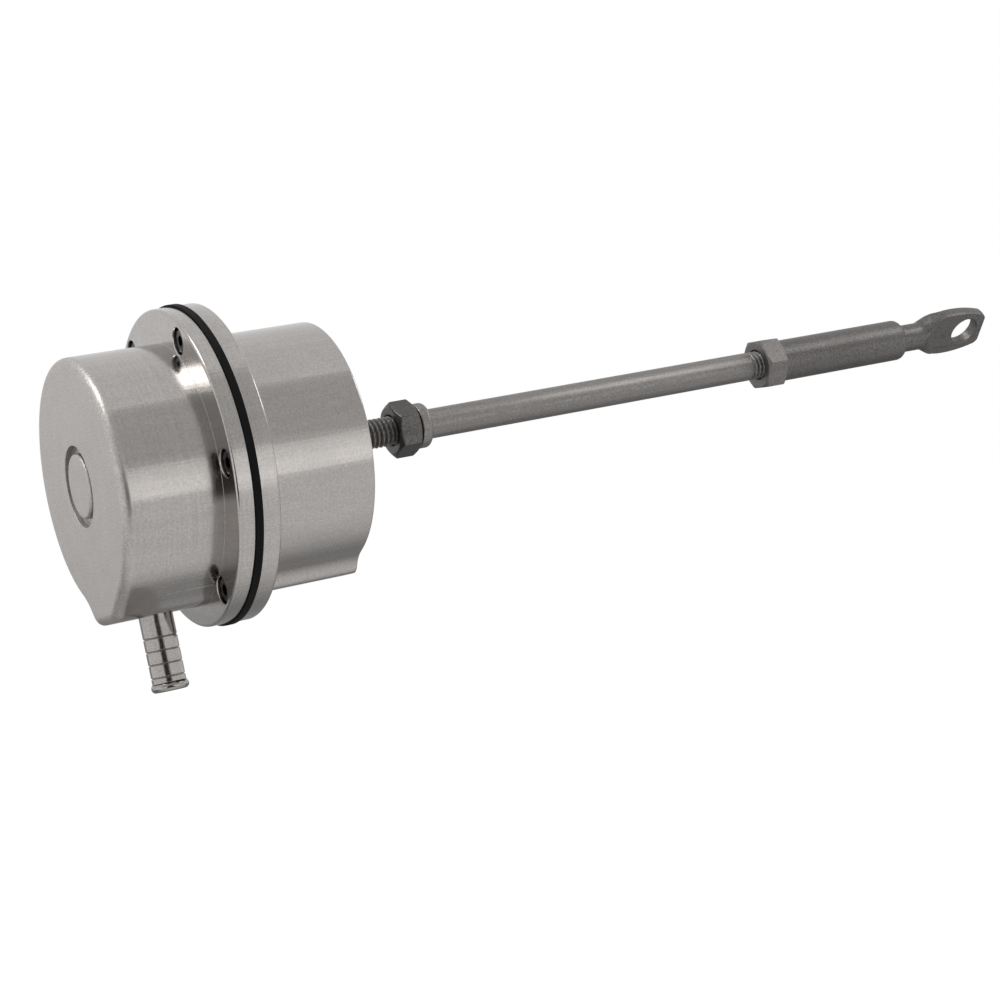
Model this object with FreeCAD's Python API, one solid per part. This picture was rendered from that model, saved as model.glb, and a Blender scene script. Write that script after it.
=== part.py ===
import FreeCAD, Part
import math
import os

from FreeCAD import Vector

# A pneumatic wastegate actuator for a turbocharger, in millimetres at full size.
# The rod slides along X and its eye is at +X. The origin is the centre of the
# mounting face, where the rod leaves the lower housing. The hose nipple points
# to -Z. Boost air enters the cap through the nipple, presses on the diaphragm
# and the piston, and pushes the rod out against the return spring.

# Casing
BODY_RADIUS = 24.0
CAP_RADIUS = 24.2
FLANGE_RADIUS = 31.5
LOWER_LENGTH = 25.9
LOWER_FLANGE = 3.0
CAP_LENGTH = 22.7
CAP_FLANGE = 4.0
HOUSING_WALL = 3.0
CAP_END_WALL = 3.5
LOWER_END_WALL = 7.0
CAP_END_ROUND = 2.5
CAP_FLANGE_BLEND = 1.4
LOWER_FLANGE_BLEND = 0.8
FLANGE_EDGE_ROUND = 0.5
BORE_CORNER_ROUND = 1.5
EDGE_BREAK = 0.3

# Ridges along the underside of the two housings
LOWER_RIDGE_HEIGHT = 2.3
LOWER_RIDGE_HALF_WIDTH = 3.6
LOWER_RIDGE_FOOT = 9.0
LOWER_RIDGE_ROUND = 1.5
LOWER_RIDGE_BLEND = 5.0
CAP_RIDGE_HEIGHT = 2.2
CAP_RIDGE_HALF_WIDTH = 7.4
CAP_RIDGE_FOOT = 12.0
CAP_RIDGE_ROUND = 3.0
CAP_RIDGE_BLEND = 5.0
RIDGE_FOOT_DEPTH = 6.5

# Ring groove that leaves a round button in the cap's end face
BUTTON_RADIUS = 6.2
BUTTON_GROOVE_WIDTH = 1.6
BUTTON_GROOVE_DEPTH = 1.3
BUTTON_ROUND = 0.5

# Housing screws
SCREW_COUNT = 6
SCREW_FROM_FLANGE_EDGE = 3.3
SCREW_CLOCKING = 25.0
SCREW_RADIUS = 1.5
SCREW_HEAD_RADIUS = 2.6
SCREW_HEAD_HEIGHT = 2.0
SCREW_HEAD_RECESS = 0.5
SCREW_SOCKET_FLATS = 2.0
SCREW_SOCKET_DEPTH = 1.2
SCREW_END_GAP = 0.4

# Diaphragm
RIM_THICKNESS = 1.4
RIM_PROUD = 0.15
SHEET_THICKNESS = 0.8
BORE_MOUTH_ROUND = 1.5
FOLD_DEPTH = 2.4

# Piston and the stack that clamps the diaphragm to it
STROKE = 12.0
STROKE_SPARE = 0.5
REST_GAP = 0.3
FOLD_GAP = 3.5
PISTON_WALL = 2.0
PISTON_HEAD = 3.0
PISTON_CORNER_ROUND = 1.5
PISTON_HUB_HEIGHT = 2.0
PISTON_HUB_CLEARANCE = 0.5
RETAINER_INSET = 2.1
RETAINER_THICKNESS = 2.0
WASHER_THICKNESS = 1.2
WASHER_RADIUS = 5.6
SHAFT_PAST_NUT = 0.7

# Return spring
SPRING_WIRE = 2.2
SPRING_CLEARANCE = 1.8
SPRING_TURNS = 5.5
SPRING_CLOSE_TURNS = 1.0
SPRING_GROUND_SHARE = 0.65
SPRING_POINTS_PER_TURN = 12
SHIM_THICKNESS = 0.8
SHIM_OVERHANG = 1.0

# Shaft, its guide and its seal
SHAFT_RADIUS = 3.0
SHOULDER_RADIUS = 5.0
SHOULDER_LENGTH = 2.0
SHAFT_THREAD_START = 8.0
THREAD_UNDERSIZE = 0.05
THREAD_RELIEF_DEPTH = 0.5
THREAD_RELIEF_LENGTH = 0.8
SPIGOT_RADIUS = 2.0
SPIGOT_LENGTH = 11.0
BUSH_WALL = 2.0
BUSH_BOSS_WALL = 3.0
BUSH_BOSS_HEIGHT = 7.0
WIPER_LENGTH = 2.2
WIPER_WALL = 3.0
CIRCLIP_THICKNESS = 1.0
CIRCLIP_WIDTH = 1.8
CIRCLIP_GROOVE_DEPTH = 0.5
CIRCLIP_INSET = 0.4
CIRCLIP_GAP_ANGLE = 40.0

# Fits and clearances, each on the radius
RUNNING_CLEARANCE = 0.04
THREAD_CLEARANCE = 0.05
HOLE_CLEARANCE = 0.1
SCREW_HOLE_CLEARANCE = 0.2
HEAD_CLEARANCE = 0.25
SHIM_CLEARANCE = 0.3

# Nuts
NUT_FLATS = 10.0
NUT_THICKNESS = 5.0
NUT_CORNER_ANGLE = 30.0
HEXAGON_SIDES = 6

# Rod outside the housing
SHAFT_NUT_START = 14.8
COLLAR_GAP = 0.3
COLLAR_RADIUS = 4.55
COLLAR_LENGTH = 2.4
COLLAR_ROUND = 0.8
ROD_RADIUS = 3.0
ROD_NUT_START = 102.8
ROD_THREAD_SHOWING = 2.6
ROD_THREAD_ENGAGED = 14.0
SPIGOT_HOLE_SPARE = 1.5

# Rod end: barrel, neck and flattened eye
BARREL_RADIUS = 4.43
BARREL_LENGTH = 32.8
BARREL_BORE_DEPTH = 25.0
BARREL_TIP_ROUND = 1.2
NECK_LENGTH = 4.0
EYE_CENTRE_FROM_BARREL = 18.1
EYE_HOLE_RADIUS = 3.3
EYE_HALF_WIDTH = 5.45
EYE_WIDEST_TO_HOLE = 4.2
EYE_SHOULDER_START = 5.2
EYE_SHOULDER_EASE = 0.25
EYE_SHOULDER_SWEEP = 0.69
EYE_TIP_FROM_HOLE = 5.05
EYE_TIP_HALF_WIDTH = 3.9
EYE_TIP_CORNER_ROUND = 1.2
EYE_THICKNESS = 2.6
EYE_EDGE_ROUND = 0.3
EYE_FLATTENING_LENGTH = 5.2
EYE_CLOCKING = -43.4
DRILL_POINT_ANGLE = 59.0

# Hose nipple
NIPPLE_POSITION = 40.5
NIPPLE_RADIUS = 3.25
NIPPLE_LENGTH = 14.8
NIPPLE_BORE_RADIUS = 1.9
NIPPLE_SPIGOT_RADIUS = 2.75
NIPPLE_SPIGOT_LENGTH = 4.6
NIPPLE_BEAD_RADIUS = 3.6
NIPPLE_BEAD_LENGTH = 1.6
NIPPLE_BEAD_ROUND = 0.4
NIPPLE_GROOVE_COUNT = 4
NIPPLE_GROOVE_SPACING = 2.5
NIPPLE_GROOVE_WIDTH = 0.3
NIPPLE_GROOVE_DEPTH = 0.15
SPOT_FACE_RADIUS = 5.0
SPOT_FACE_DEPTH = 0.3

# Mounting face
MOUNT_HOLE_COUNT = 4
MOUNT_HOLE_RADIUS = 2.5
MOUNT_HOLE_DEPTH = 6.0
MOUNT_CIRCLE_RADIUS = 16.0
MOUNT_CLOCKING = 45.0
VENT_RADIUS = 1.0
VENT_INSET = 1.6

# Places along the rod axis that follow from the sizes above
LOWER_TOP = -LOWER_LENGTH
LOWER_FLANGE_BACK = LOWER_TOP + LOWER_FLANGE
LOWER_FLOOR = -LOWER_END_WALL
CAP_FACE = LOWER_TOP - RIM_THICKNESS
CAP_FLANGE_FRONT = CAP_FACE - CAP_FLANGE
CAP_END = CAP_FACE - CAP_LENGTH
CAP_CEILING = CAP_END + CAP_END_WALL
SHAFT_END = CAP_CEILING + REST_GAP
PISTON_NUT_START = SHAFT_END + SHAFT_PAST_NUT
PISTON_WASHER_START = PISTON_NUT_START + NUT_THICKNESS
RETAINER_START = PISTON_WASHER_START + WASHER_THICKNESS
SHEET_START = RETAINER_START + RETAINER_THICKNESS
PISTON_START = SHEET_START + SHEET_THICKNESS
PISTON_INSIDE = PISTON_START + PISTON_HEAD
SHOULDER_START = PISTON_INSIDE + PISTON_HUB_HEIGHT
SHIM_START = LOWER_FLOOR - SHIM_THICKNESS
PISTON_SKIRT_END = LOWER_FLOOR - STROKE - STROKE_SPARE
CIRCLIP_START = -CIRCLIP_INSET - CIRCLIP_THICKNESS
WIPER_START = CIRCLIP_START - WIPER_LENGTH
BUSH_START = LOWER_FLOOR - BUSH_BOSS_HEIGHT
COLLAR_START = SHAFT_NUT_START + NUT_THICKNESS + COLLAR_GAP
ROD_THREAD_START = ROD_NUT_START - ROD_THREAD_SHOWING
BARREL_START = ROD_NUT_START + NUT_THICKNESS
BARREL_END = BARREL_START + BARREL_LENGTH
ROD_END_TIP = BARREL_START + ROD_THREAD_ENGAGED
EYE_CENTRE = BARREL_END + EYE_CENTRE_FROM_BARREL
EYE_TIP = EYE_CENTRE + EYE_TIP_FROM_HOLE

# Radii that follow from the sizes and fits above
BORE_RADIUS = BODY_RADIUS - HOUSING_WALL
PISTON_RADIUS = BORE_RADIUS - FOLD_GAP
RETAINER_RADIUS = PISTON_RADIUS - RETAINER_INSET
SPRING_MEAN_RADIUS = PISTON_RADIUS - PISTON_WALL - SPRING_CLEARANCE - SPRING_WIRE / 2.0
LOWER_RIDGE_CREST = BODY_RADIUS + LOWER_RIDGE_HEIGHT
CAP_RIDGE_CREST = CAP_RADIUS + CAP_RIDGE_HEIGHT
SPOT_FACE_LEVEL = CAP_RIDGE_CREST - SPOT_FACE_DEPTH
SCREW_CIRCLE_RADIUS = FLANGE_RADIUS - SCREW_FROM_FLANGE_EDGE
VENT_CIRCLE_RADIUS = BORE_RADIUS - VENT_INSET
BUSH_RADIUS = SHAFT_RADIUS + BUSH_WALL
BUSH_BOSS_RADIUS = BUSH_RADIUS + BUSH_BOSS_WALL
WIPER_RADIUS = SHAFT_RADIUS + WIPER_WALL
SCREW_HOLE_RADIUS = SCREW_RADIUS + SCREW_HOLE_CLEARANCE
SCREW_POCKET_RADIUS = SCREW_HEAD_RADIUS + HEAD_CLEARANCE
SCREW_POCKET_DEPTH = SCREW_HEAD_HEIGHT + SCREW_HEAD_RECESS
THREADED_HOLE_RADIUS = SHAFT_RADIUS + THREAD_CLEARANCE

ORIGIN = Vector(0, 0, 0)
X_AXIS = Vector(1, 0, 0)
Z_AXIS = Vector(0, 0, 1)
FULL_TURN = 360.0
ON_THE_SPOT = 1e-4


def cylinder(start, end, radius):
    """A solid cylinder on the rod axis between two places."""
    return Part.makeCylinder(radius, end - start, Vector(start, 0, 0), X_AXIS)


def tube(start, end, outer, inner):
    """A ring or tube on the rod axis."""
    return cylinder(start, end, outer).cut(cylinder(start, end, inner))


def turned(path, axis=X_AXIS, centre=ORIGIN):
    """Turn a closed outline about an axis.

    The path is a list of points, each (along, radius). A point with four
    numbers is an arc: (middle along, middle radius, end along, end radius).
    """
    edges = []
    here = Vector(path[0][0], path[0][1], 0)
    for step in list(path[1:]) + [path[0]]:
        there = Vector(step[-2], step[-1], 0)
        if len(step) == 4:
            edges.append(Part.Arc(here, Vector(step[0], step[1], 0), there).toShape())
        else:
            edges.append(Part.LineSegment(here, there).toShape())
        here = there
    face = Part.Face(Part.Wire(edges))
    solid = face.revolve(ORIGIN, X_AXIS, FULL_TURN)
    solid.Placement = FreeCAD.Placement(centre, FreeCAD.Rotation(X_AXIS, axis))
    return solid


def corner_arc(centre_along, centre_radius, size, start_angle, end_angle):
    """Middle and end of an arc about a centre, as one step of a turned path."""
    middle = math.radians((start_angle + end_angle) / 2.0)
    end = math.radians(end_angle)
    return (
        centre_along + size * math.cos(middle),
        centre_radius + size * math.sin(middle),
        centre_along + size * math.cos(end),
        centre_radius + size * math.sin(end),
    )


def around(shape, count, first_angle=0.0):
    """Copies of a shape, evenly spaced about the rod axis."""
    copies = []
    for index in range(count):
        copy = shape.copy()
        copy.rotate(ORIGIN, X_AXIS, first_angle + index * FULL_TURN / count)
        copies.append(copy)
    return copies


def edges_where(shape, test):
    """The edges of a shape that pass a test."""
    return [edge for edge in shape.Edges if test(edge)]


def in_plane(edge, place):
    """True for an edge that lies in the plane across the rod axis at a place."""
    box = edge.BoundBox
    return abs(box.XMin - place) < ON_THE_SPOT and abs(box.XMax - place) < ON_THE_SPOT


def is_ring(edge, place, radius):
    """True for a round edge about the rod axis with this place and radius."""
    if not in_plane(edge, place):
        return False
    curve = edge.Curve
    if not isinstance(curve, Part.Circle):
        return False
    centred = curve.Center.distanceToPoint(Vector(place, 0, 0)) < ON_THE_SPOT
    return centred and abs(curve.Radius - radius) < ON_THE_SPOT


def runs_along_rod(edge):
    """True for a straight edge parallel to the rod axis."""
    if not isinstance(edge.Curve, Part.Line):
        return False
    return abs(abs(edge.Curve.Direction.x) - 1.0) < ON_THE_SPOT


def reach(edge):
    """Distance of an edge's first point from the rod axis."""
    point = edge.Vertexes[0].Point
    return math.hypot(point.y, point.z)


def ridge(start, end, crest, half_width, foot):
    """A straight bar with sloping flanks along the underside of a housing."""
    depth = crest - RIDGE_FOOT_DEPTH
    corners = [
        Vector(start, -half_width, -crest),
        Vector(start, half_width, -crest),
        Vector(start, foot, -depth),
        Vector(start, -foot, -depth),
    ]
    face = Part.Face(Part.makePolygon(corners + [corners[0]]))
    return face.extrude(Vector(end - start, 0, 0))


def blended_ridge(body, radius, crest, crest_round, blend):
    """Round the crest of a housing's ridge and blend its flanks into the body."""

    def on_crest(edge):
        level = edge.Vertexes[0].Point.z
        return runs_along_rod(edge) and abs(level + crest) < ON_THE_SPOT

    def on_foot(edge):
        below = edge.Vertexes[0].Point.z < 0
        return runs_along_rod(edge) and below and abs(reach(edge) - radius) < ON_THE_SPOT

    body = body.makeFillet(crest_round, edges_where(body, on_crest))
    return body.makeFillet(blend, edges_where(body, on_foot))


def joined_to_flange(body, flange, place, farthest, blend):
    """Fuse a cup to its flange and blend the corner between them.

    The corner lies in the flange's plane and begins nearer to the rod axis
    than the farthest distance given.
    """
    whole = body.fuse(flange).removeSplitter()

    def in_corner(edge):
        nearest = min(math.hypot(vertex.Point.y, vertex.Point.z) for vertex in edge.Vertexes)
        return in_plane(edge, place) and nearest < farthest

    return whole.makeFillet(blend, edges_where(whole, in_corner))


def drilled(depth, radius, mouth):
    """A blind hole along the rod axis from its mouth, with a drill point.

    A positive depth drills towards +X and a negative one towards -X.
    """
    way = math.copysign(1.0, depth)
    point = radius / math.tan(math.radians(DRILL_POINT_ANGLE))
    bottom = mouth + depth
    return turned([(mouth, 0), (mouth, radius), (bottom, radius), (bottom + way * point, 0)])


def screw_places(tool):
    """One copy of a tool at each housing screw.

    The tool stands on the rod axis, and the first screw is counted from the
    nipple's side.
    """
    tool.translate(Vector(0, 0, -SCREW_CIRCLE_RADIUS))
    return around(tool, SCREW_COUNT, -SCREW_CLOCKING)


def make_cap_housing():
    """The cap: flanged cup with a ridge, a nipple port and screw pockets."""
    body = cylinder(CAP_END, CAP_FLANGE_FRONT, CAP_RADIUS)
    body = body.fuse(
        ridge(CAP_END, CAP_FLANGE_FRONT, CAP_RIDGE_CREST, CAP_RIDGE_HALF_WIDTH, CAP_RIDGE_FOOT)
    )
    body = blended_ridge(
        body.removeSplitter(), CAP_RADIUS, CAP_RIDGE_CREST, CAP_RIDGE_ROUND, CAP_RIDGE_BLEND
    )
    body = body.makeFillet(CAP_END_ROUND, edges_where(body, lambda edge: in_plane(edge, CAP_END)))
    flange = cylinder(CAP_FLANGE_FRONT, CAP_FACE, FLANGE_RADIUS)
    flange = flange.makeFillet(
        FLANGE_EDGE_ROUND,
        edges_where(flange, lambda edge: is_ring(edge, CAP_FLANGE_FRONT, FLANGE_RADIUS)),
    )
    body = joined_to_flange(
        body, flange, CAP_FLANGE_FRONT, CAP_RIDGE_CREST + CAP_RIDGE_ROUND, CAP_FLANGE_BLEND
    )
    chamber = cylinder(CAP_CEILING, CAP_FACE, BORE_RADIUS)
    chamber = chamber.makeFillet(
        BORE_CORNER_ROUND,
        edges_where(chamber, lambda edge: is_ring(edge, CAP_CEILING, BORE_RADIUS)),
    )
    pocket_floor = CAP_FLANGE_FRONT + SCREW_POCKET_DEPTH
    pocket = cylinder(CAP_FLANGE_FRONT - CAP_FLANGE_BLEND, pocket_floor, SCREW_POCKET_RADIUS)
    hole = cylinder(pocket_floor, CAP_FACE, SCREW_HOLE_RADIUS)
    port = Part.makeCylinder(
        NIPPLE_SPIGOT_RADIUS,
        CAP_RIDGE_CREST,
        Vector(-NIPPLE_POSITION, 0, 0),
        -Z_AXIS,
    )
    spot_face = Part.makeCylinder(
        SPOT_FACE_RADIUS,
        SPOT_FACE_DEPTH,
        Vector(-NIPPLE_POSITION, 0, -SPOT_FACE_LEVEL),
        -Z_AXIS,
    )
    cuts = [chamber, button_groove(), port, spot_face] + screw_places(pocket.fuse(hole))
    return body.cut(cuts)


def button_groove():
    """The ring groove around the button in the cap's end face."""
    floor = CAP_END + BUTTON_GROOVE_DEPTH
    shoulder = CAP_END + BUTTON_ROUND
    path = [
        (CAP_END, BUTTON_RADIUS + BUTTON_GROOVE_WIDTH),
        (CAP_END, BUTTON_RADIUS - BUTTON_ROUND),
        corner_arc(shoulder, BUTTON_RADIUS - BUTTON_ROUND, BUTTON_ROUND, 180.0, 90.0),
        (floor, BUTTON_RADIUS),
        (floor, BUTTON_RADIUS + BUTTON_GROOVE_WIDTH),
    ]
    return turned(path)


def make_lower_housing():
    """The lower housing: spring cup with its flange, bush boss and mounting face."""
    body = cylinder(LOWER_FLANGE_BACK, 0, BODY_RADIUS)
    body = body.fuse(
        ridge(
            LOWER_FLANGE_BACK, 0, LOWER_RIDGE_CREST, LOWER_RIDGE_HALF_WIDTH, LOWER_RIDGE_FOOT
        )
    )
    body = blended_ridge(
        body.removeSplitter(),
        BODY_RADIUS,
        LOWER_RIDGE_CREST,
        LOWER_RIDGE_ROUND,
        LOWER_RIDGE_BLEND,
    )
    body = body.makeChamfer(EDGE_BREAK, edges_where(body, lambda edge: in_plane(edge, 0)))
    flange = cylinder(LOWER_TOP, LOWER_FLANGE_BACK, FLANGE_RADIUS)
    flange = flange.makeFillet(
        FLANGE_EDGE_ROUND,
        edges_where(flange, lambda edge: is_ring(edge, LOWER_FLANGE_BACK, FLANGE_RADIUS)),
    )
    body = joined_to_flange(
        body,
        flange,
        LOWER_FLANGE_BACK,
        LOWER_RIDGE_CREST + LOWER_RIDGE_ROUND,
        LOWER_FLANGE_BLEND,
    )
    screw_hole = cylinder(LOWER_TOP, LOWER_FLANGE_BACK, SCREW_RADIUS + THREAD_CLEARANCE)
    mount_hole = drilled(-MOUNT_HOLE_DEPTH, MOUNT_HOLE_RADIUS, 0)
    mount_hole.translate(Vector(0, 0, MOUNT_CIRCLE_RADIUS))
    vent = Part.makeCylinder(
        VENT_RADIUS, LOWER_END_WALL, Vector(LOWER_FLOOR, 0, VENT_CIRCLE_RADIUS), X_AXIS
    )
    groove = cylinder(
        CIRCLIP_START, CIRCLIP_START + CIRCLIP_THICKNESS, WIPER_RADIUS + CIRCLIP_GROOVE_DEPTH
    )
    cuts = [
        spring_chamber(),
        cylinder(BUSH_START, 0, BUSH_RADIUS),
        cylinder(WIPER_START, 0, WIPER_RADIUS),
        groove,
        vent,
    ]
    cuts += screw_places(screw_hole)
    cuts += around(mount_hole, MOUNT_HOLE_COUNT, MOUNT_CLOCKING)
    return body.cut(cuts)


def spring_chamber():
    """The space for the spring and piston, with a rounded mouth and a bush boss."""
    mouth = LOWER_TOP + BORE_MOUTH_ROUND
    outer = BORE_RADIUS + BORE_MOUTH_ROUND
    corner = BORE_RADIUS - BORE_CORNER_ROUND
    path = [
        (LOWER_TOP, 0),
        (LOWER_TOP, outer),
        corner_arc(mouth, outer, BORE_MOUTH_ROUND, 180.0, 270.0),
        (LOWER_FLOOR - BORE_CORNER_ROUND, BORE_RADIUS),
        corner_arc(LOWER_FLOOR - BORE_CORNER_ROUND, corner, BORE_CORNER_ROUND, 90.0, 0.0),
        (LOWER_FLOOR, BUSH_BOSS_RADIUS),
        (BUSH_START + EDGE_BREAK, BUSH_BOSS_RADIUS),
        (BUSH_START, BUSH_BOSS_RADIUS - EDGE_BREAK),
        (BUSH_START, 0),
    ]
    return turned(path)


def make_diaphragm():
    """The rolling diaphragm at rest: rim, fold beside the piston and flat centre."""
    half = SHEET_THICKNESS / 2.0
    outer_line = BORE_RADIUS - RIM_THICKNESS / 2.0
    inner_line = PISTON_RADIUS + RIM_THICKNESS / 2.0
    fold_radius = (outer_line - inner_line) / 2.0
    fold_middle = (outer_line + inner_line) / 2.0
    bend = BORE_MOUTH_ROUND + RIM_THICKNESS / 2.0
    mouth = LOWER_TOP + BORE_MOUTH_ROUND
    fold = mouth + FOLD_DEPTH
    rim_inside = BORE_RADIUS + BORE_MOUTH_ROUND
    head_corner = PISTON_START - half + bend
    head_radius = inner_line - bend
    hole = SHAFT_RADIUS + HOLE_CLEARANCE
    path = [
        (CAP_FACE, rim_inside),
        (CAP_FACE, FLANGE_RADIUS + RIM_PROUD),
        (LOWER_TOP, FLANGE_RADIUS + RIM_PROUD),
        (LOWER_TOP, rim_inside),
        (mouth - bend + half, rim_inside),
        corner_arc(mouth, rim_inside, bend - half, 180.0, 270.0),
        (fold, outer_line + half),
        corner_arc(fold, fold_middle, fold_radius + half, 90.0, 0.0),
        corner_arc(fold, fold_middle, fold_radius + half, 0.0, -90.0),
        (head_corner, inner_line - half),
        corner_arc(head_corner, head_radius, bend - half, 90.0, 180.0),
        (PISTON_START, hole),
        (SHEET_START, hole),
        (SHEET_START, head_radius),
        corner_arc(head_corner, head_radius, bend + half, 180.0, 90.0),
        (fold, inner_line + half),
        corner_arc(fold, fold_middle, fold_radius - half, -90.0, 0.0),
        corner_arc(fold, fold_middle, fold_radius - half, 0.0, 90.0),
        (mouth, outer_line - half),
        corner_arc(mouth, rim_inside, bend + half, 270.0, 180.0),
    ]
    sheet = turned(path)
    return sheet.cut(screw_places(cylinder(CAP_FACE, LOWER_TOP, SCREW_HOLE_RADIUS)))


def make_piston():
    """The piston: a cup that carries the diaphragm and holds the spring."""
    inside = PISTON_RADIUS - PISTON_WALL
    hub = SPRING_MEAN_RADIUS - SPRING_WIRE / 2.0 - PISTON_HUB_CLEARANCE
    corner = PISTON_START + PISTON_CORNER_ROUND
    hole = SHAFT_RADIUS + HOLE_CLEARANCE
    path = [
        (PISTON_START, hole),
        (PISTON_START, PISTON_RADIUS - PISTON_CORNER_ROUND),
        corner_arc(corner, PISTON_RADIUS - PISTON_CORNER_ROUND, PISTON_CORNER_ROUND, 180.0, 90.0),
        (PISTON_SKIRT_END - EDGE_BREAK, PISTON_RADIUS),
        (PISTON_SKIRT_END, PISTON_RADIUS - EDGE_BREAK),
        (PISTON_SKIRT_END, inside),
        (PISTON_INSIDE, inside),
        (PISTON_INSIDE, hub),
        (SHOULDER_START - EDGE_BREAK, hub),
        (SHOULDER_START, hub - EDGE_BREAK),
        (SHOULDER_START, hole),
    ]
    return turned(path)


def make_retainer_plate():
    """The round plate that clamps the diaphragm onto the piston."""
    hole = SHAFT_RADIUS + HOLE_CLEARANCE
    edge_round = RETAINER_THICKNESS / 2.0
    middle = RETAINER_START + edge_round
    path = [
        (RETAINER_START, hole),
        (RETAINER_START, RETAINER_RADIUS - edge_round),
        corner_arc(middle, RETAINER_RADIUS - edge_round, edge_round, 180.0, 90.0),
        corner_arc(middle, RETAINER_RADIUS - edge_round, edge_round, 90.0, 0.0),
        (SHEET_START, hole),
    ]
    return turned(path)


def make_piston_washer():
    """The plain washer under the piston nut."""
    washer_end = PISTON_WASHER_START + WASHER_THICKNESS
    return tube(PISTON_WASHER_START, washer_end, WASHER_RADIUS, SHAFT_RADIUS + HOLE_CLEARANCE)


def across_corners(flats):
    """Width across the corners of a hexagon with this width across its flats."""
    return flats / math.cos(math.pi / HEXAGON_SIDES)


def hexagon(start, length, corner_radius):
    """A hexagonal prism on the rod axis with one corner towards +Z."""
    corners = []
    for index in range(HEXAGON_SIDES + 1):
        angle = 2.0 * math.pi * index / HEXAGON_SIDES
        corners.append(
            Vector(start, corner_radius * math.sin(angle), corner_radius * math.cos(angle))
        )
    return Part.Face(Part.makePolygon(corners)).extrude(Vector(length, 0, 0))


def hex_nut(start):
    """A hexagon nut on the rod axis, with its corners turned off at both faces."""
    corner_radius = across_corners(NUT_FLATS) / 2.0
    prism = hexagon(start, NUT_THICKNESS, corner_radius)
    face_radius = NUT_FLATS / 2.0 - EDGE_BREAK / 2.0
    slope = math.tan(math.radians(NUT_CORNER_ANGLE))
    run = (corner_radius - face_radius) * slope
    end = start + NUT_THICKNESS
    envelope = turned([
        (start, 0),
        (start, face_radius),
        (start + run, corner_radius),
        (end - run, corner_radius),
        (end, face_radius),
        (end, 0),
    ])
    return prism.common(envelope).cut(cylinder(start, end, THREADED_HOLE_RADIUS))


def spring_line(start, end):
    """The centre line of the spring, with close turns at both ends."""
    count = int(SPRING_POINTS_PER_TURN * SPRING_TURNS)
    close_rise = SPRING_WIRE * SPRING_CLOSE_TURNS
    open_rise = (end - start) - 2.0 * close_rise
    points = []
    for index in range(count + 1):
        turn = SPRING_TURNS * index / count
        opened = (turn - SPRING_CLOSE_TURNS) / (SPRING_TURNS - 2.0 * SPRING_CLOSE_TURNS)
        if opened < 0.0:
            along = start + SPRING_WIRE * turn
        elif opened > 1.0:
            along = end - SPRING_WIRE * (SPRING_TURNS - turn)
        else:
            along = start + close_rise + open_rise * opened
        angle = 2.0 * math.pi * turn
        points.append(Vector(
            along, SPRING_MEAN_RADIUS * math.cos(angle), SPRING_MEAN_RADIUS * math.sin(angle)
        ))
    curve = Part.BSplineCurve()
    curve.interpolate(points)
    return curve


def make_return_spring():
    """The return spring: closed end turns, ground flat on the shim and piston."""
    ground = SPRING_WIRE / 2.0 - SPRING_WIRE * SPRING_GROUND_SHARE / 2.0
    curve = spring_line(PISTON_INSIDE + ground, SHIM_START - ground)
    first = curve.value(curve.FirstParameter)
    way = curve.tangent(curve.FirstParameter)[0]
    section = Part.Wire(Part.Circle(first, way, SPRING_WIRE / 2.0).toShape())
    coil = Part.Wire(curve.toShape()).makePipeShell([section], True, True)
    outer = SPRING_MEAN_RADIUS + SPRING_WIRE
    return coil.common(cylinder(PISTON_INSIDE, SHIM_START, outer))


def make_spring_shim():
    """The hard ring that keeps the spring off the housing floor."""
    outer = SPRING_MEAN_RADIUS + SPRING_WIRE / 2.0 + SHIM_OVERHANG
    return tube(SHIM_START, LOWER_FLOOR, outer, BUSH_BOSS_RADIUS + SHIM_CLEARANCE)


def make_actuator_shaft():
    """The shaft: clamped in the piston, guided in the bush, threaded outside."""
    thread_radius = SHAFT_RADIUS - THREAD_UNDERSIZE
    relief = thread_radius - THREAD_RELIEF_DEPTH
    shoulder_end = SHOULDER_START + SHOULDER_LENGTH
    thread = SHAFT_THREAD_START
    spigot_end = COLLAR_START + SPIGOT_LENGTH
    path = [
        (SHAFT_END, 0),
        (SHAFT_END, SHAFT_RADIUS - EDGE_BREAK),
        (SHAFT_END + EDGE_BREAK, SHAFT_RADIUS),
        (SHOULDER_START, SHAFT_RADIUS),
        (SHOULDER_START, SHOULDER_RADIUS),
        (shoulder_end - EDGE_BREAK, SHOULDER_RADIUS),
        (shoulder_end, SHOULDER_RADIUS - EDGE_BREAK),
        (shoulder_end, SHAFT_RADIUS),
        (thread - THREAD_RELIEF_LENGTH - THREAD_RELIEF_DEPTH, SHAFT_RADIUS),
        (thread - THREAD_RELIEF_LENGTH, relief),
        (thread, relief),
        (thread + THREAD_RELIEF_DEPTH, thread_radius),
        (COLLAR_START - EDGE_BREAK, thread_radius),
        (COLLAR_START, thread_radius - EDGE_BREAK),
        (COLLAR_START, SPIGOT_RADIUS),
        (spigot_end - EDGE_BREAK, SPIGOT_RADIUS),
        (spigot_end, SPIGOT_RADIUS - EDGE_BREAK),
        (spigot_end, 0),
    ]
    return turned(path)


def make_guide_bush():
    """The bronze bush that guides the shaft."""
    return tube(BUSH_START, WIPER_START, BUSH_RADIUS, SHAFT_RADIUS + RUNNING_CLEARANCE)


def make_shaft_wiper():
    """The wiper ring outside the bush, with a lip that leans outwards."""
    inner = SHAFT_RADIUS + RUNNING_CLEARANCE
    lip = WIPER_LENGTH / 2.0
    land = (WIPER_RADIUS - inner) / 2.0
    path = [
        (WIPER_START, inner),
        (WIPER_START, WIPER_RADIUS),
        (CIRCLIP_START, WIPER_RADIUS),
        (CIRCLIP_START, inner + land),
        (CIRCLIP_START - lip / 2.0, inner + land),
        (CIRCLIP_START, inner),
    ]
    return turned(path)


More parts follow.
